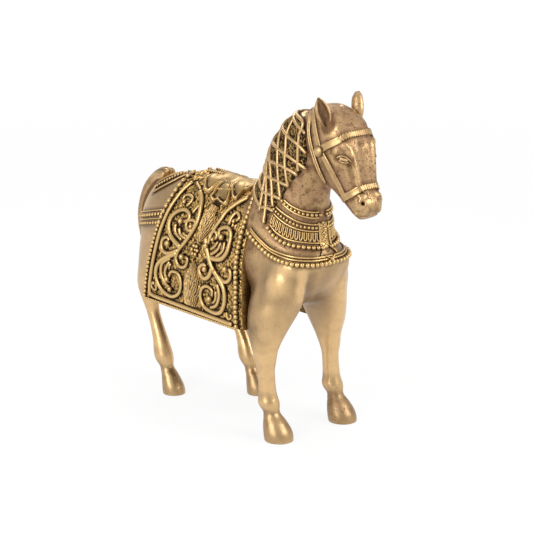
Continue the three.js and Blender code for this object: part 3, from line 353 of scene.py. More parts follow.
class Clay:
    """The surface of a piece while it is worked with a modelling tool."""

    def __init__(self, obj):
        self.mesh = obj.data
        self.points = np.empty((len(self.mesh.vertices), 3))
        self.mesh.vertices.foreach_get("co", self.points.ravel())
        pairs = np.empty((len(self.mesh.edges), 2), int)
        self.mesh.edges.foreach_get("vertices", pairs.ravel())
        self.here = np.concatenate([pairs[:, 0], pairs[:, 1]])
        self.there = np.concatenate([pairs[:, 1], pairs[:, 0]])
        self.count = np.bincount(self.here, minlength=len(self.points))
        self.turn_out()

    def turn_out(self):
        self.mesh.vertices.foreach_set("co", self.points.ravel())
        self.mesh.update()
        self.outward = np.empty_like(self.points)
        self.mesh.vertices.foreach_get("normal", self.outward.ravel())

    def around(self):
        """The mean of each point's neighbours."""
        total = [np.bincount(self.here, self.points[self.there, k], len(self.points)) for k in range(3)]
        return np.stack(total, axis=1) / self.count[:, None]

    def relax(self, rounds, keep=1.03, share=1.0):
        """Smooths the surface. Pushing back a little more than was smoothed keeps its size."""
        for _ in range(rounds):
            for step in (0.6, -0.6 * keep):
                self.points += step * share * (self.around() - self.points)
        self.turn_out()

    def fill(self, rounds, share):
        """Fills hollows, as a thumb drags clay into a join, and leaves the rises alone."""
        for _ in range(rounds):
            rise = ((self.around() - self.points) * self.outward).sum(axis=1)
            self.points += (share * np.clip(rise, 0, None))[:, None] * self.outward
            self.turn_out()

    def inside(self, low, high, soft):
        """1 in a box, falling to 0 over a soft margin round it."""
        beyond = np.maximum(np.maximum(np.array(low) - self.points, self.points - np.array(high)), 0)
        return np.clip(1 - np.linalg.norm(beyond, axis=1) / soft, 0, 1)

    def band(self, x, z, lean, radius, height):
        """Raises or presses a band round the legs that stand at x. Lean tips it up towards the front."""
        ahead = self.points[:, 0] - x
        level = self.points[:, 2] - z - lean * ahead
        push = np.clip(1 - (level / radius) ** 2, 0, 1) ** 2 * (abs(ahead) < LEG_REACH)
        self.points += (height * push)[:, None] * self.outward
        self.turn_out()

    def near(self, marks, radius):
        """1 on a line through marks, falling to 0 at the radius."""
        closest = np.full(len(self.points), np.inf)
        marks = [np.array(mark) for mark in marks]
        for start, end in zip(marks, marks[1:] or marks):
            run = end - start
            along = np.clip((self.points - start) @ run / max(run @ run, 1e-9), 0, 1)
            gap = np.linalg.norm(self.points - start - along[:, None] * run, axis=1)
            closest = np.minimum(closest, gap)
        return np.clip(1 - (closest / radius) ** 2, 0, 1) ** 2

    def stroke(self, marks, radius, height, mirrored=True):
        """Raises or presses the surface along a line, on the right side and, mirrored, on the left one."""
        push = self.near(marks, radius)
        if mirrored:
            push = np.maximum(push, self.near([(x, -y, z) for x, y, z in marks], radius))
        self.points += (height * push)[:, None] * self.outward
        self.turn_out()


LEG_REACH = 14
FOREQUARTERS = (0, -40, 80), (70, 40, 134)
BREAST = (30, -24, 84), (70, 24, 112)
HINDQUARTERS = (-120, -40, 76), (-62, 40, 128)
POINT_OF_SHOULDER = (48, -28, 118), (44, -29, 106)
BREAST_RIDGE = (60, -21, 118), (59, -20, 111), (55, -19, 102)
BREAST_GROOVE = (62, -13, 112), (59, -13, 106), (55, -12, 99), (48, -9, 92)
FOREARM = (40, -34, 96), (38, -34, 74)
ELBOW = (16, -26, 116), (18, -27, 104), (22, -29, 96), (28, -32, 86)
clay = Clay(horse)
clay.relax(12)
clay.fill(110, 0.9 * clay.inside(*FOREQUARTERS, 12))
clay.fill(80, clay.inside(*BREAST, 8))
clay.fill(40, 0.7 * clay.inside(*HINDQUARTERS, 12))
clay.relax(6)
clay.stroke(POINT_OF_SHOULDER, 14, 1.7)
clay.stroke(BREAST_RIDGE, 5.5, 0.8)
clay.stroke(BREAST_GROOVE, 6.5, -0.8, mirrored=False)
clay.stroke(FOREARM, 9, 0.9)
clay.stroke(ELBOW, 15, 1.8)
clay.relax(10)
fine = bmesh.new()
fine.from_mesh(horse.data)
HEAD_REACH = 47
HEAD_FOOT = 150
FETLOCK_TOP = 33
FETLOCKS = (-130, -45, 0), (80, 45, FETLOCK_TOP)


def finely_worked(edge):
    """Whether an edge is on the face or on a fetlock or hoof."""
    ahead = min(vert.co.x for vert in edge.verts) > HEAD_REACH
    above = min(vert.co.z for vert in edge.verts) > HEAD_FOOT
    return ahead and above or max(vert.co.z for vert in edge.verts) < FETLOCK_TOP


fine_edges = [edge for edge in fine.edges if finely_worked(edge)]
bmesh.ops.subdivide_edges(fine, edges=fine_edges, cuts=1, use_grid_fill=True)
fine.to_mesh(horse.data)
fine.free()
clay = Clay(horse)
clay.relax(4)
clay.relax(12, share=clay.inside(*FETLOCKS, 6)[:, None])
FRONT_HOOVES = 46
HIND_HOOVES = -34.5, -74.5
KNEES = FRONT_HOOVES - 12
KNEE_HEIGHT = 53
for hoof in (FRONT_HOOVES, *HIND_HOOVES):
    clay.band(hoof - 9, 24, 0.15, 6, 0.22)
    clay.band(hoof - 8, 18.5, 0, 3, -0.2)
    clay.band(hoof - 5, 14.5, -0.15, 2.2, 0.16)
clay.band(KNEES, KNEE_HEIGHT, 0, 7, 0.3)
clay.band(KNEES, KNEE_HEIGHT - 8, 0.2, 2.4, -0.12)
SOLE_DROP = 1.8
SOLE_FADE = 12
sunk = SOLE_DROP * np.clip(1 - clay.points[:, 2] / SOLE_FADE, 0, 1)
clay.points[:, 2] = np.maximum(clay.points[:, 2] - sunk, 0)
clay.turn_out()

FACE = {
    "brow": (((3.6, 66), (3.55, 52), (3.7, 42)), 3.6, 0.5),
    "eye socket": (((4.1, 66), (4.3, 52), (4.5, 42)), 4.5, -0.5),
    "face bone": (((3.7, 40), (3.95, 32), (4.42, 30), (4.97, 31), (5.55, 33), (6.1, 36)), 4.0, 1.5),
    "hollow of the cheek": (((4.8, 47), (5.4, 47), (6.0, 50)), 3.2, -0.7),
    "bridge of the nose": (((4.0, 0), (5.0, 0), (6.0, 0)), 5.5, -0.9),
    "temple": (((2.4, 24), (2.7, 40)), 3.4, 0.5),
    "nostril": (((7.62, 44), (7.6, 48)), 1.8, -2.8),
    "rim of the nostril": (((7.25, 33), (7.15, 44), (7.3, 54), (7.6, 59)), 1.5, 1.3),
    "end of the nose": (((6.9, 44), (7.1, 24)), 2.6, 0.8),
    "upper lip": (((8.3, 30), (8.5, 60), (8.2, 96)), 2.4, 0.6),
    "mouth": (((9.0, 20), (8.8, 60), (8.45, 98), (7.8, 118)), 0.9, -0.7),
}
CROWN_LUMPS = (((1.5, -4), (1.6, -2)), 0.9), (((1.9, -22), (2.0, -20)), 0.8)
for marks, radius, rise in FACE.values():
    clay.stroke([head.raw(*mark) for mark in marks], radius, rise)
for marks, rise in CROWN_LUMPS:
    clay.stroke([head.raw(*mark) for mark in marks], 2.0, rise, mirrored=False)
skin = [tuple(patch.vertices) for patch in horse.data.polygons]
metal = BVHTree.FromPolygons([Vector(point) for point in clay.points], skin)


def brass(name, worn, dark, roughness, pit, crumb=0.0, patina=0.0, lacquer=0.0):
    """Aged brass: bright where rubbed or painted with a highlight, dark in hollows and painted shade,
    clouded, pitted, patinated.
    """
    finish = Finish(bpy.data.materials.new(name))
    place = finish.node("TexCoord", output="Object")
    wear_and_painted_light = finish.node("Attribute", {"attribute_name": "wear_and_painted_light"}, output="Fac")
    aged = patina + finish.node("Attribute", {"attribute_name": "aged"}, output="Fac")

    def cloud(scale, detail=4.0):
        values = {"Vector": place, "Scale": scale, "Detail": detail}
        return finish.node("TexNoise", None, values, output="Fac")

    clouded = cloud(55, 5).between(0.4, 0.62)
    blotched = cloud(210, 6).between(0.5, 0.66)
    specks = cloud(1100, 2)
    pits = cloud(750, 3).between(0.42, 0.3)
    tone = wear_and_painted_light + (0.1 + 0.3 * aged) * (specks - 0.5)
    if crumb:
        crumbs = finish.node("TexVoronoi", None, {"Vector": place, "Scale": 1300.0}, output="Distance")
        tone = tone + crumb * (0.4 - crumbs)
    # The bright end stands for rubbed metal and for painted highlights, the dark end for tarnish and for
    # painted shade.
    bright = tuple(min(1.55 * part, 1) for part in worn)
    metal_colour = finish.blend(tone.between(0.1, 0.8) ** 1.3, dark, worn)
    metal_colour = finish.blend(tone.between(0.8, 1.12), metal_colour, bright)
    metal_colour = finish.blend((aged * (0.25 + 0.75 * clouded)).between(0, 1.4), metal_colour, PATINA)
    metal_colour = finish.blend((0.85 * aged * blotched).between(0, 1.3), metal_colour, STAIN)
    metal_colour = finish.blend((aged * pits).between(0, 1.2), metal_colour, dark)
    relief = aged * (0.35 * specks - pit * pits) + 0.3 * cloud(320, 3)
    bump = finish.node("Bump", None, {"Height": relief, "Strength": 0.5, "Distance": 0.0005}, output="Normal")
    finish.shaded({
        "Base Color": metal_colour, "Metallic": 0.95 - 0.4 * aged * clouded, "Normal": bump,
        "Roughness": roughness + 0.14 * aged * clouded + 0.18 * (1 - tone.between(0.2, 1)),
    })
    if lacquer:
        finish.shaded({"Coat Weight": lacquer * (1 - aged), "Coat Roughness": 0.24})
    return finish.owner


def keep_wear_and_light(mesh, values, kind="wear_and_painted_light"):
    """Keeps how far each point is rubbed bright or given a painted highlight, from 0 in a hollow or painted
    shade to 1 on a rise, or how far it is aged.
    """
    layer = mesh.attributes.get(kind) or mesh.attributes.new(kind, "FLOAT", "POINT")
    layer.data.foreach_set("value", np.asarray(values, dtype=np.float32))


def finished(obj, material, slot, *nodes):
    """Puts a piece in the frame with its finish, and hides the solids that it stands for."""
    obj.data.materials.clear()
    obj.data.materials.append(material)
    obj.data.polygons.foreach_set("use_smooth", [True] * len(obj.data.polygons))
    obj.data.transform(IN_FRAME)
    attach(obj, "root")
    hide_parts(*nodes)
    return obj


PATINA = (0.345, 0.19, 0.098, 1)
STAIN = (0.15, 0.072, 0.03, 1)
SATIN = (0.485, 0.322, 0.155, 1)
# The dark end of the body's colour: tarnish in hollows and pits, and painted shade.
TARNISH_AND_SHADE = (0.085, 0.043, 0.018, 1)
horse_brass = brass("horse_brass", SATIN, TARNISH_AND_SHADE, roughness=0.33, pit=0.7, lacquer=0.4)
smoothed = Clay(horse)
for _ in range(14):
    smoothed.points += smoothed.around() - smoothed.points
hollow = ((smoothed.points - clay.points) * clay.outward).sum(axis=1)
horse.data.vertices.foreach_set("co", clay.points.ravel())
LEGS_BELOW_KNEE = (-130, -45, 14), (80, 45, 70)
HOOVES = (-130, -45, 0), (80, 45, 12)
LEFT_HOOF = (46, 29, 2), (42, 29, 14)
SHOULDERS = (10, -40, 75), (70, 40, 125)
# Painted shade, with some patina, on the body beside the cloth's front edge.
SHADE_BY_CLOTH = (12, -27, 122), (14, -28, 98), (21, -31, 84), (23, -33, 70)
RIDGE_PAINTED_HIGHLIGHT = (60, -21, 118), (59, -20, 111), (55, -19, 98)
SHOULDER_PAINTED_HIGHLIGHT = (48, -28, 120), (44, -30, 107)
LEFT_FOREARM_PAINTED_HIGHLIGHT = (57, 12, 104), (52, 24, 88), (44, 28, 62)
HEAD_AND_POLL = (58, -30, 168), (120, 30, 240)
NECK_AND_CREST = (-10, -40, 132), (70, 40, 185)
on_legs = clay.inside(*LEGS_BELOW_KNEE, 20)
on_hooves = clay.inside(*HOOVES, 14)
on_left_hoof = clay.near(LEFT_HOOF, 20)
shade_by_cloth = clay.near(SHADE_BY_CLOTH, 14)
# How bright the body is: darker in its hollows, from tarnish that rubbing misses and from painted shade.
polish_and_painted_light = 0.74 - (1.3 - 0.7 * clay.inside(*SHOULDERS, 12)) * np.clip(hollow, -0.25, 1)
# Painted shade where the skin faces down.
polish_and_painted_light -= 0.3 * np.clip(-clay.outward[:, 2], 0, 1)
# Painted highlight down the fronts of the legs, painted shade beside the cloth, and darker hooves.
polish_and_painted_light += on_legs * (0.03 + 0.17 * clay.outward[:, 0]) - 0.35 * shade_by_cloth - 0.2 * on_hooves
# Painted highlights on the breast ridge, the point of the shoulder and the left forearm.
polish_and_painted_light += 0.35 * clay.near(RIDGE_PAINTED_HIGHLIGHT, 5.5)
polish_and_painted_light += 0.3 * clay.near(SHOULDER_PAINTED_HIGHLIGHT, 11) - 0.12 * on_left_hoof
polish_and_painted_light += 0.3 * clay.near(LEFT_FOREARM_PAINTED_HIGHLIGHT, 17)
on_head = clay.inside(*HEAD_AND_POLL, 18)
on_neck = clay.inside(*NECK_AND_CREST, 14)
# Patina on the head, neck and hooves; beside the cloth it also deepens the painted shade.
patina_and_cloth_shade = 0.16 + 0.8 * on_head + 0.7 * on_neck + 0.08 * on_hooves + 0.6 * shade_by_cloth + 0.4 * on_left_hoof
keep_wear_and_light(horse.data, np.clip(patina_and_cloth_shade, 0, 1), "aged")


# The tail is a separate hank of wax, combed along its length, arched off the croup and hanging clear of the
# rump. It is cast with the horse, and rubbed with it.
def layer_of(bm):
    return bm.verts.layers.float.get("wear_and_painted_light") or bm.verts.layers.float.new("wear_and_painted_light")


tail_bm = bmesh.new()
layer_of(tail_bm)
rounded_copy(tail_bm, "tail", tighten=0.5, cuts=3)
bmesh.ops.recalc_face_normals(tail_bm, faces=tail_bm.faces)
for vert in tail_bm.verts:
    hair = noise.noise(Vector((vert.co.y * 0.55, 0.015 * (vert.co.x + vert.co.z), 3)))
    vert[layer_of(tail_bm)] = 0.76 + 0.7 * hair
    vert.co += vert.normal * 0.8 * hair
tail = object_of("tail_hank", tail_bm)
keep_wear_and_light(tail.data, [0.5] * len(tail.data.vertices), "aged")
finished(tail, horse_brass, "body_brass", "tail")


# The saddle cloth is a sheet of wax on each side, stippled all over so that its ground stays dark when the
# figure is rubbed. A place on it has a share, from rear border to front border, and a level below the ridge.
CLOTH_SWELL = 0, 8, 15, 21, 26, 29.5, 32, 33.2, 33.8, 34
CLOTH_DROP = 0, 2, 7, 14.5, 24, 35.5, 47.5, 61.5, 75.5, 90.5
CLOTH_FRONT = -4, 3, 8, 11, 11.5, 11.5, 12, 13.5, 14, 15
CLOTH_REAR = -69.5, -71, -72.5, -74.5, -77.5, -81, -84, -88, -91, -93.5
CLOTH_RIDGE = 160
HEM = len(CLOTH_DROP) - 1


class Cloth:
    """The right half's outer face."""

    def raw(self, share, level):
        rear = smooth(CLOTH_REAR, level)
        x = rear + share * (smooth(CLOTH_FRONT, level) - rear)
        return Vector((x, -smooth(CLOTH_SWELL, level), CLOTH_RIDGE - smooth(CLOTH_DROP, level)))

    def out(self, share, level):
        down = self.raw(share, min(level + 0.1, HEM)) - self.raw(share, max(level - 0.1, 0))
        return Vector((0, down.z, -down.y)).normalized()

    def spot(self, share, level):
        return Spot(self.raw(share, level), self.out(share, level))

    def over(self, share, level, lift):
        return self.raw(share, level) + self.out(share, level) * lift


cloth = Cloth()
CLOTH_TOP_THICKNESS = 4
CLOTH_HEM_THICKNESS = 9
THREAD_HEIGHT = 0.75
THREADS_CLOSE = 0.36
THREAD_HALF = 0.17


def threads(place):
    """1 on the crest of fine curled threads of wax laid all over, and 0 in the gaps between them."""
    place = place * THREADS_CLOSE
    crossing = min(abs(noise.noise(place)), abs(noise.noise(place + Vector((9, 4, 7)))))
    return max(1 - crossing / THREAD_HALF, 0)


def slab(bm, across, along):
    """A flat block of small squares, 1 by 1, with its back at z 0 and its face at z 1."""
    bmesh.ops.create_grid(bm, x_segments=across, y_segments=along, size=0.5)
    raised = bmesh.ops.extrude_face_region(bm, geom=bm.faces[:])["geom"]
    face_verts = [item for item in raised if isinstance(item, bmesh.types.BMVert)]
    bmesh.ops.translate(bm, vec=(0, 0, 1), verts=face_verts)


cloth_bm = bmesh.new()
ground_wear_and_shade = layer_of(cloth_bm)
slab(cloth_bm, 185, 200)
for vert in cloth_bm.verts:
    share = vert.co.x + 0.5
    level = HEM * (vert.co.y + 0.5)
    edge = max(abs(vert.co.x), abs(vert.co.y)) > 0.497
    place = cloth.raw(share, level)
    if vert.co.z:
        crest = 0 if edge else threads(place)
        vert.co = place + cloth.out(share, level) * (THREAD_HEIGHT * crest - 0.3 * edge)
        vert[ground_wear_and_shade] = 0.5 if edge else 0.3 + 0.8 * crest
    else:
        depth = CLOTH_TOP_THICKNESS + (CLOTH_HEM_THICKNESS - CLOTH_TOP_THICKNESS) * level / HEM
        vert.co = place - cloth.out(share, level) * depth
        vert[ground_wear_and_shade] = 0.4
    vert.co.y = min(vert.co.y, 0)
# Gold on the threads' crests, black in the ground between them; round the trimmings the black also serves as
# painted shade.
THREAD_GOLD = (0.64, 0.4, 0.135, 1)
BLACK_GROUND_AND_SHADE = (0.03, 0.018, 0.009, 1)
ground_brass = brass("stippled_brass", THREAD_GOLD, BLACK_GROUND_AND_SHADE, roughness=0.36, pit=0.4, crumb=0.45)


# The cloth's borders: a row of large beads down the front and rear edges, small beads under the hem, and a
# raised cord inside them. Beads are pinched from wax wire and pressed on one by one.
random.seed(7)
laid = []


def trail(surface, marks, step):
    """Spots at even steps along a smooth line through marks on a surface."""
    fine = 10 * (len(marks) - 1)
    columns = list(zip(*marks))
    spots = [surface.spot(*(smooth(column, i / 10) for column in columns)) for i in range(fine + 1)]
    reached = [0]
    for first, second in zip(spots, spots[1:]):
        reached.append(reached[-1] + (second.at - first.at).length)
    count = max(round(reached[-1] / step), 2)
    even = []
    for goal in (reached[-1] * k / count for k in range(count + 1)):
        i = next((i for i in range(1, fine) if reached[i] >= goal), fine)
        t = (goal - reached[i - 1]) / (reached[i] - reached[i - 1])
        at, out = (first.lerp(second, t) for first, second in zip(spots[i - 1], spots[i]))
        even.append(Spot(at, out.normalized()))
    return even


def bead(bm, spot, radius, lift=0.0):
    """A ball of wax sunk a little in what it is pressed on, rubbed bright on its top, with a painted
    highlight there and painted shade below.
    """
    wear_and_painted_light = layer_of(bm)
    size = radius * random.uniform(0.94, 1.06)
    centre = spot.at + spot.out * (lift + 0.75 * radius)
    laid.append((centre, size))
    place = Matrix.Translation(centre)
    ball = bmesh.ops.create_icosphere(bm, subdivisions=2, radius=size, matrix=place)["verts"]
    for vert in ball:
        vert[wear_and_painted_light] = 1.12 * max(0.5 + 0.5 * (vert.co - centre).dot(spot.out) / size, 0) ** 1.4


def bead_row(bm, surface, marks, spacing, radius, lift=0.0):
    for spot in trail(surface, marks, spacing):
        bead(bm, spot, radius, lift)


def rolled(bm, spots, sides, section):
    """A sheet of wax rolled round a trail. The section gives a point's place to the side and above, and how
    far it is rubbed, from its share of the length and of the turn."""
    wear_and_painted_light = layer_of(bm)
    last = len(spots) - 1
    sheet = bmesh.ops.create_grid(bm, x_segments=last, y_segments=sides, size=0.5)["verts"]
    forward = [spots[min(i + 1, last)].at - spots[max(i - 1, 0)].at for i in range(last + 1)]
    for vert in sheet:
        t = vert.co.x + 0.5
        i = round(t * last)
        side, up, vert[wear_and_painted_light] = section(t, vert.co.y + 0.5)
        vert.co = spots[i].at + forward[i].cross(spots[i].out).normalized() * side + spots[i].out * up
    bmesh.ops.remove_doubles(bm, verts=sheet, dist=1e-4)


def wire(bm, surface, marks, width, height, lift=-0.3, taper=1.0, step=0.9, sides=10):
    """A wax wire pressed down along a line. It narrows to the taper and has round ends."""
    spots = trail(surface, marks, step)
    laid.extend((spot.at, width / 2) for spot in spots)
    length = step * (len(spots) - 1)

    def section(t, turn):
        end = min(t, 1 - t) * length / (width / 2)
        size = (1 + (taper - 1) * t) * math.sqrt(1 - (1 - min(end, 1)) ** 2)
        angle = 2 * math.pi * turn
        rise = 0.5 + 0.5 * math.sin(angle)
        # Bright along the crest and dark down the flanks and at the foot: rubbed wear and tarnish, with
        # painted highlight and painted shade.
        return math.cos(angle) * size * width / 2, lift + size * rise * (height - lift), 1.1 * rise ** 2

    rolled(bm, spots, sides, section)


def mirrored(bm):
    """The same piece for the left side."""
    twin = bm.copy()
    bmesh.ops.scale(twin, vec=(1, -1, 1), verts=twin.verts)
    bmesh.ops.reverse_faces(twin, faces=twin.faces)
    return twin


def pair(name, bm, material, slot, *stems):
    """Finishes a piece of the right side and its mirror image on the left one."""
    bmesh.ops.recalc_face_normals(bm, faces=bm.faces)
    for side, half in (("right", bm), ("left", mirrored(bm))):
        finished(object_of(f"{side}_{name}", half), material, slot, *(f"{stem}_{side}" for stem in stems))


# Ornament brass runs from brown, for tarnish and painted shade, through rubbed gold to a bright colour for
# wear and painted highlights.
RUBBED_GOLD = (0.54, 0.36, 0.15, 1)
BROWN = (0.035, 0.018, 0.008, 1)
bright_brass = brass("bright_brass", RUBBED_GOLD, BROWN, roughness=0.33, pit=0.3, patina=0.15)
FRONT_BORDER = [(0.955, level) for level in (0.3, 1, 2, 3, 4, 5, 6, 7, 8, 8.8)]
REAR_BORDER_TOP = [(0.022, level) for level in (0.9, 2, 3, 4, 4.9)]
REAR_BORDER_FOOT = [(0.022, level) for level in (5.1, 6, 7, 8, 8.8)]
border = bmesh.new()
bead_row(border, cloth, FRONT_BORDER, 3.4, 1.9)
pair("front_border_beads", border, bright_brass, "ornament_brass", "front_bead_row")
border = bmesh.new()
bead_row(border, cloth, REAR_BORDER_TOP, 4.1, 1.8)
bead_row(border, cloth, REAR_BORDER_FOOT, 3.2, 1.55)
pair("rear_border_beads", border, bright_brass, "ornament_brass", "rear_bead_row")
FRAME = (
    (0.14, 1.7), (0.1, 2.5), (0.078, 3.4), (0.068, 4.3), (0.064, 5.3), (0.065, 6.1), (0.066, 7), (0.066, 7.8),
    (0.068, 8.4), (0.1, 8.66), (0.3, 8.7), (0.6, 8.74), (0.915, 8.78),
)
cord = bmesh.new()
wire(cord, cloth, FRAME, 3.3, 2.4)
pair("frame_cord", cord, bright_brass, "ornament_brass", "frame_cord")
UNDER_HEM = (0.03, 8.98), (0.35, 9), (0.65, 9), (0.93, 9)
hem_beads = bmesh.new()
bead_row(hem_beads, cloth, UNDER_HEM, 1.95, 1.05)
pair("hem_beads", hem_beads, bright_brass, "ornament_brass")


# The scrolls of each side are two branching vines of wax wire, each branch rolled up round a knob, with finer
# wires inside the curves like the ribs of acanthus leaves. A wire has a width, a height, a taper and marks,
# which are points picked on the photo and projected on the cloth.
SCROLLS = {
    "rear_scroll": [
        (4.1, 2.9, 0.6, [(0.283, 2.3), (0.36, 2.76), (0.408, 3.43), (0.436, 4.18), (0.416, 4.86),
            (0.364, 5.61), (0.311, 6.15), (0.304, 6.59), (0.351, 6.89), (0.41, 6.8), (0.424, 6.42),
            (0.375, 6.35)]),
        (4.1, 2.9, 0.7, [(0.34, 5.95), (0.211, 5.53), (0.146, 5), (0.132, 4.47), (0.174, 4.01),
            (0.249, 3.8), (0.321, 4.03), (0.325, 4.35), (0.265, 4.5)]),
        (3.9, 2.7, 0.6, [(0.32, 6.1), (0.221, 6.41), (0.15, 6.38), (0.115, 6.1), (0.118, 5.75),
            (0.16, 5.62), (0.195, 5.9)]),
        (4.1, 2.9, 0.6, [(0.31, 6.25), (0.181, 6.72), (0.122, 7.14), (0.119, 7.69), (0.162, 8.15),
            (0.236, 8.4), (0.315, 8.43), (0.377, 8.17), (0.384, 7.65), (0.34, 7.27), (0.27, 7.3),
            (0.25, 7.7)]),
        (2.8, 2.2, 0.7, [(0.239, 3.61), (0.263, 3.22), (0.256, 2.93), (0.196, 2.79), (0.155, 2.93),
            (0.162, 3.23), (0.201, 3.35)]),
        (2.9, 2.2, 0.7, [(0.206, 4.67), (0.234, 5.19), (0.323, 5.55)]),
        (2.9, 2.2, 0.7, [(0.26, 4.84), (0.292, 5.22), (0.363, 5.4)]),
        (2.6, 2.0, 0.7, [(0.31, 5.07), (0.35, 5.2), (0.382, 5.21)]),
        (2.9, 2.3, 0.8, [(0.413, 4.81), (0.366, 4.87), (0.325, 4.63), (0.332, 4.35), (0.391, 4.27),
            (0.418, 4.44), (0.389, 4.63)]),
        (3.2, 2.3, 0.8, [(0.244, 6.6), (0.171, 6.95), (0.167, 7.45), (0.214, 7.92), (0.287, 8.14)]),
        (2.8, 2.1, 0.8, [(0.243, 6.79), (0.211, 7.22), (0.217, 7.59), (0.264, 7.89)]),
        (2.8, 2.2, 0.5, [(0.259, 6.87), (0.245, 7.05), (0.241, 7.28)]),
        (2.4, 2.0, 0.7, [(0.115, 7.53), (0.134, 8.32), (0.105, 8.4), (0.08, 8.3), (0.087, 8.11),
            (0.11, 8.12)]),
        (2.5, 1.9, 0.7, [(0.174, 1.65), (0.22, 1.9), (0.282, 2.14)]),
        (2.5, 1.9, 0.7, [(0.34, 3.9), (0.362, 3.4), (0.39, 3.1)]),
    ],
    "front_scroll": [
        (3.9, 2.8, 0.7, [(0.9, 1.75), (0.788, 2.47), (0.706, 3.19), (0.681, 3.77), (0.645, 4.37),
            (0.622, 4.94), (0.615, 5.42)]),
        (4.1, 2.9, 0.7, [(0.582, 4.92), (0.608, 5.42), (0.656, 5.98), (0.693, 6.39), (0.758, 6.75),
            (0.837, 6.93), (0.887, 6.71), (0.89, 6.35), (0.85, 6.3)]),
        (4.1, 2.9, 0.7, [(0.66, 6), (0.781, 5.9), (0.836, 5.49), (0.848, 4.89), (0.838, 4.4), (0.786, 4.12),
            (0.715, 4.28), (0.71, 4.62), (0.76, 4.72)]),
        (3.9, 2.7, 0.7, [(0.7, 6.4), (0.673, 6.88), (0.624, 7.08), (0.576, 6.92), (0.564, 6.63),
            (0.604, 6.42), (0.635, 6.6)]),
        (4.1, 2.9, 0.6, [(0.71, 6.5), (0.77, 6.83), (0.828, 7.26), (0.843, 7.86), (0.815, 8.32),
            (0.766, 8.5), (0.691, 8.5), (0.623, 8.36), (0.594, 8), (0.606, 7.61), (0.656, 7.43),
            (0.71, 7.6), (0.7, 7.97)]),
        (2.9, 2.2, 0.7, [(0.723, 5.91), (0.788, 5.44), (0.785, 4.87)]),
        (2.9, 2.2, 0.7, [(0.663, 5.86), (0.73, 5.47), (0.749, 4.97)]),
        (2.6, 2.0, 0.7, [(0.652, 5.59), (0.698, 5.28), (0.713, 4.97)]),
        (2.8, 2.2, 0.8, [(0.791, 3.99), (0.785, 3.55), (0.815, 3.09), (0.868, 3.36), (0.832, 3.68)]),
        (2.9, 2.3, 0.8, [(0.628, 5.09), (0.625, 4.69), (0.659, 4.51), (0.694, 4.76), (0.665, 4.98)]),
        (3.2, 2.3, 0.8, [(0.755, 7.11), (0.785, 7.64), (0.759, 8.18), (0.688, 8.38)]),
        (2.8, 2.1, 0.8, [(0.749, 7.49), (0.748, 7.91), (0.716, 8.19)]),
        (2.4, 2.0, 0.8, [(0.857, 8.3), (0.872, 8.58), (0.902, 8.49), (0.889, 8.34)]),
    ],
}
KNOB = 1.9
for name, wires in SCROLLS.items():
    scroll = bmesh.new()
    for width, height, taper, marks in wires:
        wire(scroll, cloth, marks, width, height, taper=taper)
        if len(marks) > 4:
            bead(scroll, cloth.spot(*marks[-1]), KNOB * min(width / 3.4, 1.15), lift=0.5)
    pair(name, scroll, bright_brass, "ornament_brass", name)


# Two leaves stand between the scrolls, a plume above and a palmette below, with a flower of six beads between
# them. Their barbs are cut into the soft wax with a blade.
LEAF_FACE = 0.88


def leaf(bm, surface, marks, widths, height, barbs, sweep):
    """A leaf with a groove down its middle and fine barbs that sweep up from it to a ragged edge."""
    spots = trail(surface, marks, 0.3)

    def section(t, turn):
        half = smooth(widths, t * (len(widths) - 1)) / 2
        top = turn < LEAF_FACE
        side = 1 - 2 * turn / LEAF_FACE if top else -1 + 2 * (turn - LEAF_FACE) / (1 - LEAF_FACE)
        wander = 0.5 * noise.noise(Vector((3 * side, 14 * t, half)))
        barb = abs((barbs * (t + sweep * abs(side)) + wander) % 1 * 2 - 1)
        edge = half * (1 - 0.24 * barb * abs(side) ** 3)
        dome = math.sqrt(max(1 - side * side, 0))
        rise = dome ** 0.7 - 0.5 * barb ** 2 * min(3 * abs(side), 1) - 0.35 * math.exp(-(side / 0.07) ** 2)
        lift = height * max(rise, 0) if top else 0
        # Darker in the barb cuts: tarnish and painted shade.
        return side * edge, lift - 0.3, 0.98 - 0.95 * barb ** 2 if top else 0.1

    for i, spot in enumerate(spots):
        laid.append((spot.at, smooth(widths, i / len(spots) * (len(widths) - 1)) / 2))
    rolled(bm, spots, 90, section)


PLUME = (0.556, 3.05), (0.545, 3.9), (0.538, 4.6), (0.532, 5.3)
PALMETTE = (0.5, 6.35), (0.495, 7.2), (0.493, 8), (0.496, 8.55)
plume = bmesh.new()
leaf(plume, cloth, PLUME, (7, 13, 15.5, 12, 3), 2.6, 4, 0.95)
pair("plume", plume, bright_brass, "ornament_brass", "plume_leaf")
palmette = bmesh.new()
leaf(palmette, cloth, PALMETTE, (2, 11, 18, 17.5, 15), 2.6, 4.5, 0.95)
pair("palmette", palmette, bright_brass, "ornament_brass", "palmette_leaf")
FLOWER_SHARE = 0.491
FLOWER_LEVEL = 5.83
flower = bmesh.new()
for petal in range(6):
    angle = petal * math.pi / 3
    share = FLOWER_SHARE + 0.03 * math.cos(angle)
    bead(flower, cloth.spot(share, FLOWER_LEVEL + 0.25 * math.sin(angle)), 1.5)
bead(flower, cloth.spot(FLOWER_SHARE, FLOWER_LEVEL), 1.1)
pair("flower_beads", flower, bright_brass, "ornament_brass")


# The seat pad is a lobed leaf of wax laid over the ridge of the cloth, with its rim rolled up and shallow
# veins pressed in. Three more lobes hang from it on each side, like the turned edge of a leaf.
def single(name, bm, material, slot, *nodes):
    """Finishes a piece that stands alone."""
    bmesh.ops.recalc_face_normals(bm, faces=bm.faces)
    finished(object_of(name, bm), material, slot, *nodes)


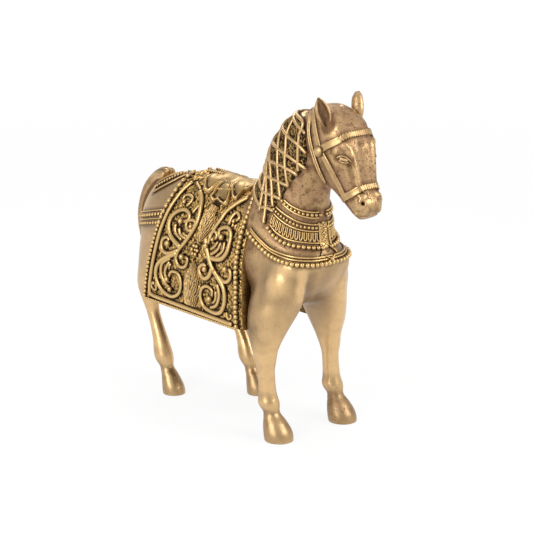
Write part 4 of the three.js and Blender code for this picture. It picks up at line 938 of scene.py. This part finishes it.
PAD_EDGE = (
    (0.2, 0.5), (0.25, 1.2), (0.304, 1.5), (0.354, 1.6), (0.39, 1.7), (0.43, 1.8), (0.48, 1.9), (0.54, 1.9),
    (0.6, 1.8), (0.64, 1.7), (0.7, 1.6), (0.76, 1.5), (0.82, 1.2), (0.88, 0.9), (0.92, 0.5),
)
PAD_RIDGE = 0.3, 0.7, 1, 0.9, 0.7, 0.5, 0.3, 0.2
pad = bmesh.new()
wear_and_painted_light = layer_of(pad)
slab(pad, 120, 96)
for vert in pad.verts:
    along = vert.co.x + 0.5
    across = 2 * vert.co.y
    share, edge = (smooth(column, along * (len(PAD_EDGE) - 1)) for column in zip(*PAD_EDGE))
    end = math.sqrt(max(1 - (2 * along - 1) ** 8, 0))
    level = abs(across) * edge * end
    crown = 1.4 + 2.6 * smooth(PAD_RIDGE, along * (len(PAD_RIDGE) - 1)) * (1 - abs(across)) ** 1.5
    rim = 1.1 * math.exp(-((abs(across) - 0.95) / 0.06) ** 2)
    veins = 0.35 * math.cos(9 * math.pi * along + 5 * abs(across))
    veins *= math.exp(-((abs(across) - 0.5) / 0.35) ** 2)
    lift = (crown + rim + veins - 0.9 * (abs(across) > 0.99)) if vert.co.z else -1
    # Brighter on the rolled rim and between the veins, darker in them: wear and tarnish, with painted
    # highlight and painted shade.
    vert[wear_and_painted_light] = 0.55 + 0.45 * rim + 0.5 * veins if vert.co.z else 0.1
    place = cloth.over(share, level, lift)
    vert.co = Vector((place.x, place.y * (1 if across > 0 else -1), place.z))
single("leaf_seat", pad, bright_brass, "ornament_brass", "seat_pad")


LOBE_FACE = 0.85


def lobe(bm, outline, middle, lift):
    """A lobe of the leaf: a thin pillow inside an outline on the cloth, with its edge rolled up."""
    wear_and_painted_light = layer_of(bm)
    ring = list(zip(*(outline[-1], *outline, *outline[:2])))
    sheet = bmesh.ops.create_grid(bm, x_segments=44, y_segments=110, size=0.5)["verts"]
    for vert in sheet:
        way = vert.co.x + 0.5
        top = way < LOBE_FACE
        reach = way / LOBE_FACE if top else (1 - way) / (1 - LOBE_FACE)
        turn = 1 + len(outline) * (vert.co.y + 0.5)
        share, level = (a + (smooth(rim, turn) - a) * reach for a, rim in zip(middle, ring))
        lower = min(max((level - 0.7) / 0.7, 0), 1)
        roll = lower * math.exp(-((reach - 0.84) / 0.085) ** 2)
        edge = math.sqrt(max(1 - (max(reach - 0.86, 0) / 0.14) ** 2, 0))
        crease = lower * math.exp(-((reach - 0.66) / 0.08) ** 2)
        fold = 0.5 * noise.noise(Vector((14 * share, 1.1 * level, lift)))
        # Darker in the crease and at the edge, brighter on the rolled rim: wear and tarnish, with painted
        # shade and painted highlight.
        vert[wear_and_painted_light] = 0.66 + 0.4 * roll - 0.75 * crease - 0.5 * (1 - edge) + 0.4 * fold if top else 0.1
        rise = lift + 1.3 * roll - 0.55 * crease + 0.9 * (1 - reach * reach) + fold
        vert.co = cloth.over(share, max(level, 0), rise * edge - 0.4 if top else -0.5)
    laid.append((cloth.raw(*middle), 1))
    bmesh.ops.remove_doubles(bm, verts=sheet, dist=1e-4)


SEAT_BEADS = (0.19, 0.5), (0.3, 0.42), (0.4, 0.4)
LOBES = (
    ((0.57, 1.9), 2.0, (
        (0.459, 2.32), (0.444, 2.6), (0.508, 2.9), (0.555, 2.68), (0.604, 2.84), (0.658, 2.92), (0.688, 2.7),
        (0.681, 2.19), (0.664, 1.72), (0.62, 0.8), (0.5, 0.7), (0.46, 1.6))),
    ((0.375, 1.25), 3.0, (
        (0.256, 1.08), (0.31, 1.7), (0.36, 2.25), (0.41, 2.42), (0.449, 2.14), (0.475, 1.61), (0.5, 1.15),
        (0.52, 0.69), (0.46, 0.15), (0.32, 0.15), (0.25, 0.5))),
    ((0.755, 1.15), 2.6, (
        (0.635, 1.21), (0.68, 1.9), (0.72, 2.32), (0.765, 2.38), (0.798, 1.83), (0.829, 1.36), (0.877, 1.03),
        (0.92, 0.5), (0.92, 0.15), (0.78, 0.1), (0.66, 0.3))),
)
lobes = bmesh.new()
for middle, lift, outline in LOBES:
    lobe(lobes, outline, middle, lift)
bead_row(lobes, cloth, SEAT_BEADS, 2.2, 1.1, lift=2.4)
pair("seat_lobes", lobes, bright_brass, "ornament_brass")


# The cloth is finished once its trimmings are on. It is darkened close round what is pressed on, with
# tarnish that polishing never reaches there and painted shade.
def tarnish_and_contact_shade(places, reach):
    """1 where a place touches a wire, bead or leaf, falling to 0 at the reach."""
    tree = KDTree(len(laid))
    for i, (at, _) in enumerate(laid):
        tree.insert(at, i)
    tree.balance()
    found = (tree.find(Vector((x, -abs(y), z))) for x, y, z in places)
    return np.array([min(max(1 - (gap - laid[i][1]) / reach, 0), 1) for _, i, gap in found])


for vert, contact_shade in zip(cloth_bm.verts, tarnish_and_contact_shade((vert.co for vert in cloth_bm.verts), 1.0)):
    vert[ground_wear_and_shade] = max(vert[ground_wear_and_shade] - 0.6 * contact_shade, 0)
pair("cloth", cloth_bm, ground_brass, "dark_ground_brass", "saddle_cloth")


# Collars of wax strip hang round the neck and chest: two that part at the plaque, and one that goes right
# round. Their marks are an angle from the front to the right, and a height.
class Girth:
    """The outermost metal seen from an upright axis at x."""

    def __init__(self, x):
        self.x = x

    def spot(self, angle, z):
        away = Vector((math.cos(math.radians(angle)), -math.sin(math.radians(angle)), 0))
        start = Vector((self.x, 0, z)) + 80 * away
        at, out, _, _ = metal.ray_cast(start, -away)
        return Spot(at, (out + away).normalized())


THROAT_AXIS = Girth(THROAT - 29)
BREAST_AXIS = Girth(THROAT - 34)
SHOULDER_AXIS = Girth(THROAT - 44)
PART = 6
THROAT_Z = WITHERS - 7.5
BREAST_Z = WITHERS - 28
SHOULDER_Z = WITHERS - 35.5


def raised_by(marks, heights, rise=0.0):
    return [(angle, height + rise) for angle, height in zip(marks, heights)]


def lines_between(first, second, share):
    return [tuple(a + (b - a) * share for a, b in zip(one, two)) for one, two in zip(first, second)]


THROAT_TOP = raised_by((68, 52, 34, 19, PART), (10, 6.6, 4, 3, 2.6), THROAT_Z)
THROAT_LOW = raised_by((72, 53, 35, 19, PART), (6, 2, -1, -2.6, -3), THROAT_Z)
BREAST_TOP = raised_by((72, 48, 31, 17, PART), (24.5, 19.5, 16, 14.5, 14), BREAST_Z)
BREAST_LOW = raised_by((79, 66, 46, 24, PART), (12.5, 8, 4, 2.4, 1.4), BREAST_Z)
throat = bmesh.new()
for share in (0.16, 0.84):
    wire(throat, THROAT_AXIS, lines_between(THROAT_TOP, THROAT_LOW, share), 1.5, 1.3)
throat_beads = bmesh.new()
bead_row(throat_beads, THROAT_AXIS, lines_between(THROAT_TOP, THROAT_LOW, 0.5), 2.65, 1.25)
pair("throat_collar", throat, bright_brass, "harness_brass", "throat_collar")
pair("throat_beads", throat_beads, bright_brass, "ornament_brass", "throat_bead_row")


class Between:
    """A strip between two lines of marks. A place on it has a share of its length and of its width."""

    def __init__(self, surface, first, second):
        self.lines = [trail(surface, marks, 0.5) for marks in (first, second)]

    def spot(self, along, across):
        ends = []
        for line in self.lines:
            reach = min(max(along, 0), 0.9999) * (len(line) - 1)
            one, two = line[int(reach)], line[int(reach) + 1]
            ends.append([first.lerp(second, reach % 1) for first, second in zip(one, two)])
        at, out = (first.lerp(second, across) for first, second in zip(*ends))
        return Spot(metal.find_nearest(at)[0], out.normalized())


breast_strip = Between(BREAST_AXIS, BREAST_TOP, BREAST_LOW)
breast = bmesh.new()
for share in (0.0, 0.36, 0.97):
    wire(breast, breast_strip, [(t / 8, share) for t in range(9)], 1.4, 1.4)
bead_row(breast, breast_strip, [(t / 8, 0.18) for t in range(9)], 2.4, 1.15)
LOOPS = 13
LOOP_HALF = 0.29
for k in range(LOOPS):
    middle = (k + 0.5) / LOOPS
    loop = [
        (middle + side * LOOP_HALF / LOOPS, drop)
        for side, drop in ((-1, 0.4), (-1, 0.6), (-0.95, 0.78), (0, 0.9), (0.95, 0.78), (1, 0.6), (1, 0.4))
    ]
    wire(breast, breast_strip, loop, 1.05, 1.25, step=0.7, sides=8)
pair("breast_collar", breast, bright_brass, "harness_brass", "breast_collar")
breast_beads = bmesh.new()
bead_row(breast_beads, BREAST_AXIS, [(angle, z - 2.6) for angle, z in BREAST_LOW], 3.25, 1.65)
pair("breast_beads", breast_beads, bright_brass, "ornament_brass", "breast_bead_row")


def right_round(marks, back=0):
    """Marks of the right side up to the middle line go on over the left side."""
    return [*marks, *((back - angle, z) for angle, z in reversed(marks[:-1]))]


SHOULDER_TOP = right_round(raised_by((92, 69, 57, 47, 33, 20, 0), (16, 9.5, 6, 4, 2.4, 1.8, 1.6), SHOULDER_Z))
shoulder = bmesh.new()
for drop in (0.5, 2.2):
    wire(shoulder, SHOULDER_AXIS, [(angle, z - drop) for angle, z in SHOULDER_TOP], 1.6, 1.4)
single("shoulder_collar_rims", shoulder, bright_brass, "harness_brass", "shoulder_collar")
shoulder_beads = bmesh.new()
bead_row(shoulder_beads, SHOULDER_AXIS, [(angle, z - 4.7) for angle, z in SHOULDER_TOP], 3.3, 1.75)
single("shoulder_beads", shoulder_beads, bright_brass, "ornament_brass", "shoulder_bead_row")


# The breast plaque is a rimmed strip that hangs down the middle over the collars, with crossed strands and
# three beads on it. Its feet spread to the shoulder collar, where a knot of wire is pressed on.
plaque = bmesh.new()
PLAQUE = [(0, BREAST_Z + 16), (0, BREAST_Z + 9), (0, BREAST_Z + 1), (0, SHOULDER_Z + 5.5)]
PLAQUE_EDGE = 7
PLAQUE_FOOT = BREAST_Z - 1
STRAND_PITCH = 4.2
KNOT_Z = SHOULDER_Z - 0.6
wire(plaque, BREAST_AXIS, PLAQUE, 8, 1.2)
for side in (-1, 1):
    wire(plaque, BREAST_AXIS, [(side * PLAQUE_EDGE, z) for _, z in PLAQUE], 1.2, 2.0)
    foot = [(side * angle, SHOULDER_Z + rise) for angle, rise in ((PLAQUE_EDGE, 5.5), (9, 3.4), (11, 1.8))]
    wire(plaque, BREAST_AXIS, foot, 1.2, 1.8)
    for crossing in range(4):
        low = PLAQUE_FOOT + STRAND_PITCH * crossing
        strand = [(-side * 4.5, low), (0, low + STRAND_PITCH / 2), (side * 4.5, low + STRAND_PITCH)]
        wire(plaque, BREAST_AXIS, strand, 0.9, 1.9, lift=0.6)
    knot = [(-side * 5.5, SHOULDER_Z - 3.2), (0, KNOT_Z), (side * 5.5, SHOULDER_Z + 2.2)]
    wire(plaque, SHOULDER_AXIS, knot, 1.3, 2.6)
for rise in (3.4, 7.6, 11.8):
    bead(plaque, BREAST_AXIS.spot(0, PLAQUE_FOOT + rise), 0.95, lift=1.0)
bead(plaque, SHOULDER_AXIS.spot(0, KNOT_Z), 1.5, lift=1.4)
single("breast_plaque_strip", plaque, bright_brass, "harness_brass", "breast_plaque")


# The ears and eyes are pressed on the finished head. Each ear is a cup of wax pinched by hand, hollow to its
# tip, and turned outwards, the left one further. Each eye is a drop of wax between two thin rolled lids.
EAR_LENGTH = 18.5
EAR_HALF = 4.7
EAR_WRAP = 125
EARS = (
    (-1, "right", (0.85, -0.5, 0.1), (0.5, 0.82, 1.0, 1.0, 0.9, 0.64, 0.16)),
    (1, "left", (0.5, 0.85, 0.1), (0.5, 0.82, 1.0, 1.03, 0.98, 0.84, 0.42)),
)
head_brass = brass("head_brass", SATIN, TARNISH_AND_SHADE, roughness=0.34, pit=0.7, patina=0.6)


def ear_wall(widths):
    """The section of an ear: out round the back and home again inside the hollow."""

    def section(t, turn):
        size = smooth(widths, t * (len(widths) - 1)) * EAR_HALF
        outside = turn < 0.5
        angle = math.radians(EAR_WRAP * (4 * turn - 1 if outside else 3 - 4 * turn))
        reach = size if outside else size - min(1.25, 0.4 * size)
        rim = 1 - abs(math.cos(angle / 2))
        # Painted shade inside the cup, lighter towards the tip and the lip; the outer wall is rubbed brighter
        # towards its rims.
        wear_and_painted_light = 0.75 + 0.5 * rim if outside else 0.22 + 0.4 * t + 0.4 * (abs(4 * turn - 3)) ** 4
        return math.sin(angle) * reach, -math.cos(angle) * reach * (0.95 if outside else 0.8), wear_and_painted_light

    return section


for side, name, opening, widths in EARS:
    root = Vector((NOSE - 29.5, 14 * side, POLL - 11))
    tip = root + EAR_LENGTH * Vector((-0.3, 0.18 * side, 1)).normalized()
    ear_line = [Spot(root.lerp(tip, i / 30), Vector(opening).normalized()) for i in range(31)]
    ear = bmesh.new()
    rolled(ear, ear_line, 56, ear_wall(widths))
    bmesh.ops.holes_fill(ear, edges=[edge for edge in ear.edges if edge.is_boundary], sides=0)
    laid.extend((spot.at, EAR_HALF - 0.1) for spot in ear_line[:8])
    single(name + "_ear_cup", ear, head_brass, "body_brass", "ear_" + name)

EYE = (4.08, 63), (4.2, 57), (4.36, 49), (4.48, 42)
UPPER_LID = (3.98, 68), (4.02, 58), (4.2, 47), (4.48, 38), (4.6, 34)
LOWER_LID = (4.12, 65), (4.34, 60), (4.5, 51), (4.58, 42)
eye = bmesh.new()
wire(eye, head, EYE, 2.4, 0.9, step=0.4, sides=16)
wire(eye, head, UPPER_LID, 1.1, 1.0, step=0.4)
wire(eye, head, LOWER_LID, 1.0, 0.6, step=0.4)
pair("eye", eye, head_brass, "body_brass")


# The bridle: flat straps that meet under a stud on each cheek. The browband and the noseband are notched with
# a blade along both edges where they cross the face.
BROW = (2.89, 90), (3.27, 58), (3.32, 30), (3.38, 0)
UPPER_CHEEK = (0.65, 62), (1.47, 78), (2.14, 86), (2.89, 90)
LOWER_CHEEK = (2.89, 90), (3.91, 88), (4.92, 91), (5.95, 96)
NOSEBAND = (6.1, 118), (6.2, 95), (6.38, 67), (6.34, 35), (6.35, 0)
NOTCH_PITCH = 1.7
LATCH = (0.48, 66), (1.3, 93), (2.07, 104), (3.04, 111), (3.94, 117), (4.4, 129)
STRAP_GOLD = (0.54, 0.365, 0.168, 1)
harness_brass = brass("harness_brass", STRAP_GOLD, TARNISH_AND_SHADE, roughness=0.33, pit=0.5, patina=0.4)


def band(bm, marks, width, height, notched=None):
    """A flat strap with square edges. Notched gives the stretch of its length whose edges are notched."""
    spots = trail(head, marks, 0.4)
    laid.extend((spot.at, width / 2) for spot in spots)
    length = 0.4 * (len(spots) - 1)
    half = (1, 0), (0.97, 0.8), (0.8, 1), (0.55, 0.9)
    profile = *half, (0, 0.88), *((-side, up) for side, up in reversed(half))

    def section(t, turn):
        corner = round(turn * len(profile)) % len(profile)
        side, up = profile[corner]
        bite = 0.0
        if notched and notched[0] < t < notched[1] and abs(side) > 0.6:
            bite = 0.5 + 0.5 * math.cos(2 * math.pi * t * length / NOTCH_PITCH)
        rise = -0.5 + up * (height + 0.5 - 0.6 * bite)
        # Darker in the notches and along the foot: tarnish and painted shade.
        return side * width / 2 * (1 - 0.16 * bite), rise, up * (0.9 - 0.9 * bite)

    rolled(bm, spots, len(profile), section)


for name, node, marks, width, notched in (
    ("browband_strap", "browband", BROW, 4.8, (0.28, 0.72)),
    ("noseband_strap", "noseband", NOSEBAND, 4.6, (0.32, 0.68)),
):
    strap = bmesh.new()
    over_face = [*marks, *((s, -turn) for s, turn in reversed(marks[:-1]))]
    band(strap, over_face, width, 1.3, notched)
    single(name, strap, harness_brass, "harness_brass", node)
for name, marks in (("upper_cheek_strap", UPPER_CHEEK), ("lower_cheek_strap", LOWER_CHEEK)):
    strap = bmesh.new()
    band(strap, marks, 4.2, 1.2)
    pair(name + "_band", strap, harness_brass, "harness_brass", name)
latch = bmesh.new()
for shift in (-2, 6):
    wire(latch, head, [(s, turn + shift) for s, turn in LATCH], 1.9, 1.1)
pair("double_latch", latch, harness_brass, "harness_brass", "throat_latch")
STUD_RADIUS = 4
stud = bmesh.new()
centre = head.spot(*BROW[0])
wear_and_painted_light = layer_of(stud)
button = bmesh.ops.create_icosphere(stud, subdivisions=3, radius=1)["verts"]
turned = centre.out.to_track_quat("Z", "X").to_matrix()
for vert in button:
    dish = 1 - 0.3 * math.exp(-((math.hypot(vert.co.x, vert.co.y) - 0.78) / 0.1) ** 2)
    # Bright on the dome, dark at the foot and in the dish ring: wear and tarnish, with painted highlight and
    # painted shade.
    vert[wear_and_painted_light] = 0.1 + 0.95 * vert.co.z * dish
    face = Vector((vert.co.x * STUD_RADIUS, vert.co.y * STUD_RADIUS, 1.6 + vert.co.z * 1.9 * dish))
    vert.co = centre.at + turned @ face
laid.append((centre.at, STUD_RADIUS))
pair("cheek_stud", stud, harness_brass, "harness_brass", "rosette")


# The mane is a dark bed of granular hair over the crest, under a net of crossed wax strands. Some strands
# stick out past the edge of the net, as they were laid.
BED_EDGE = (
    (7.6, 100), (7.2, 82), (6.6, 66), (6, 58), (5.4, 60), (4.8, 68), (4.2, 74), (3.4, 82), (2.7, 87),
    (2.1, 90),
)
BED_THICKNESS = 1.3
bed = bmesh.new()
wear_and_painted_light = layer_of(bed)
slab(bed, 190, 170)
for vert in bed.verts:
    s, edge = (smooth(column, (vert.co.x + 0.5) * (len(BED_EDGE) - 1)) for column in zip(*BED_EDGE))
    turn = edge + (360 - 2 * edge) * (vert.co.y + 0.5)
    inside = min(0.5 - abs(vert.co.x), 0.5 - abs(vert.co.y)) * 60
    crest = threads(neck.raw(s, turn))
    lift = (BED_THICKNESS + 1.0 * crest - 0.4) * min(inside, 1) if vert.co.z else -1
    vert[wear_and_painted_light] = 0.02 + 0.65 * crest if vert.co.z else 0
    vert.co = neck.raw(s, turn) + neck.out(s, turn) * lift
single("mane_hair", bed, ground_brass, "dark_ground_brass", "mane_bed")
NET = (
    ((7.5, 180), (7.6, 150), (7.71, 105), (7.01, 89), (6.38, 79), (5.36, 64)),
    ((7.3, 180), (7.45, 160), (7.31, 133), (6.55, 116), (5.92, 100), (4.36, 73)),
    ((6.7, 180), (6.6, 165), (6.27, 141), (5.53, 116), (4.71, 98), (3.47, 80)),
    ((5.7, 180), (5.6, 170), (5.33, 156), (4.64, 126), (3.72, 102), (2.8, 86)),
    ((5.0, 180), (4.9, 165), (4.74, 151), (3.8, 123), (2.85, 102), (1.75, 88)),
    ((4.4, 180), (3.9, 133), (3.06, 117), (2.06, 103)),
    ((7.5, 180), (7.4, 147), (7.36, 100), (7.32, 79)),
    ((6.8, 180), (6.7, 165), (6.48, 142), (6.62, 90), (6.46, 62)),
    ((5.5, 180), (5.4, 170), (5.29, 156), (5.75, 93), (5.76, 52)),
    ((4.7, 180), (4.48, 139), (5.02, 97), (5.2, 72), (5.16, 62)),
    ((3.9, 180), (3.69, 133), (4.16, 93), (4.39, 71)),
    ((3.2, 180), (3, 120), (3.27, 97), (3.46, 78)),
    ((2.5, 180), (2.3, 112), (2.53, 96), (2.66, 83)),
)
net = bmesh.new()
for marks in NET:
    wire(net, neck, marks, 2.6, BED_THICKNESS + 1.4, lift=0.3, sides=9)
pair("mane_net_strands", net, harness_brass, "ornament_brass", "mane_net")


# The crupper straps part round the root of the tail, and the breeching passes behind the rump under it. They
# are plain wax wires and rows of small beads.
CRUPPER_RIM = (3.2, 6), (2.95, 14), (2.7, 20), (2.4, 26), (2.05, 32)
CRUPPER_BEADS = (3.38, 9), (3.1, 20), (2.85, 27.5), (2.6, 33), (2.3, 39)
CRUPPER = (3.5, 12), (3.22, 27), (2.93, 36), (2.6, 42), (2.3, 46.5)
crupper = bmesh.new()
wire(crupper, torso, CRUPPER_RIM, 1.6, 1.3)
wire(crupper, torso, CRUPPER, 1.8, 1.4)
pair("crupper_wire", crupper, harness_brass, "harness_brass", "crupper_strap")
crupper_beads = bmesh.new()
bead_row(crupper_beads, torso, CRUPPER_BEADS, 2.3, 1.1)
pair("crupper_beads", crupper_beads, bright_brass, "ornament_brass", "crupper_bead_row")
RUMP_AXIS = Girth(RUMP + 32)
RUMP_Z = 120
UPPER_BREECHING = raised_by((76, 102, 125, 151, 180), (11, 8, 5, 1.6, 0), RUMP_Z)
LOWER_BREECHING = raised_by((79, 108, 130, 151, 180), (4.7, 1.7, -1.3, -4.8, -6.3), RUMP_Z)
breeching = bmesh.new()
for rise in (5.7, 0):
    middle = [(angle, z + rise) for angle, z in lines_between(UPPER_BREECHING, LOWER_BREECHING, 0.5)]
    wire(breeching, RUMP_AXIS, right_round(middle, back=360), 1.2, 1.0)
single("breeching_wire", breeching, bright_brass, "harness_brass", "breeching_strap")
for place, marks in (("upper", UPPER_BREECHING), ("lower", LOWER_BREECHING)):
    row = bmesh.new()
    bead_row(row, RUMP_AXIS, right_round(marks, back=360), 3.3, 1.35)
    single(place + "_breeching_row", row, bright_brass, "ornament_brass", place + "_breeching_beads")


# The horse is finished last. Like the cloth it is darkened close round the dress, with tarnish and painted
# shade, and its skin is thinned to the faces that its shape needs.
TRIANGLES_KEPT = 195000
keep_wear_and_light(horse.data, np.clip(polish_and_painted_light - 0.6 * tarnish_and_contact_shade(clay.points, 2.6), 0, 1.2))
triangles = sum(len(patch.vertices) - 2 for patch in horse.data.polygons)
applied(horse, "DECIMATE", ratio=TRIANGLES_KEPT / triangles)
finished(horse, horse_brass, "body_brass", "torso", "neck", "head", *LEGS)

bpy.context.scene.view_settings.view_transform = "Standard"
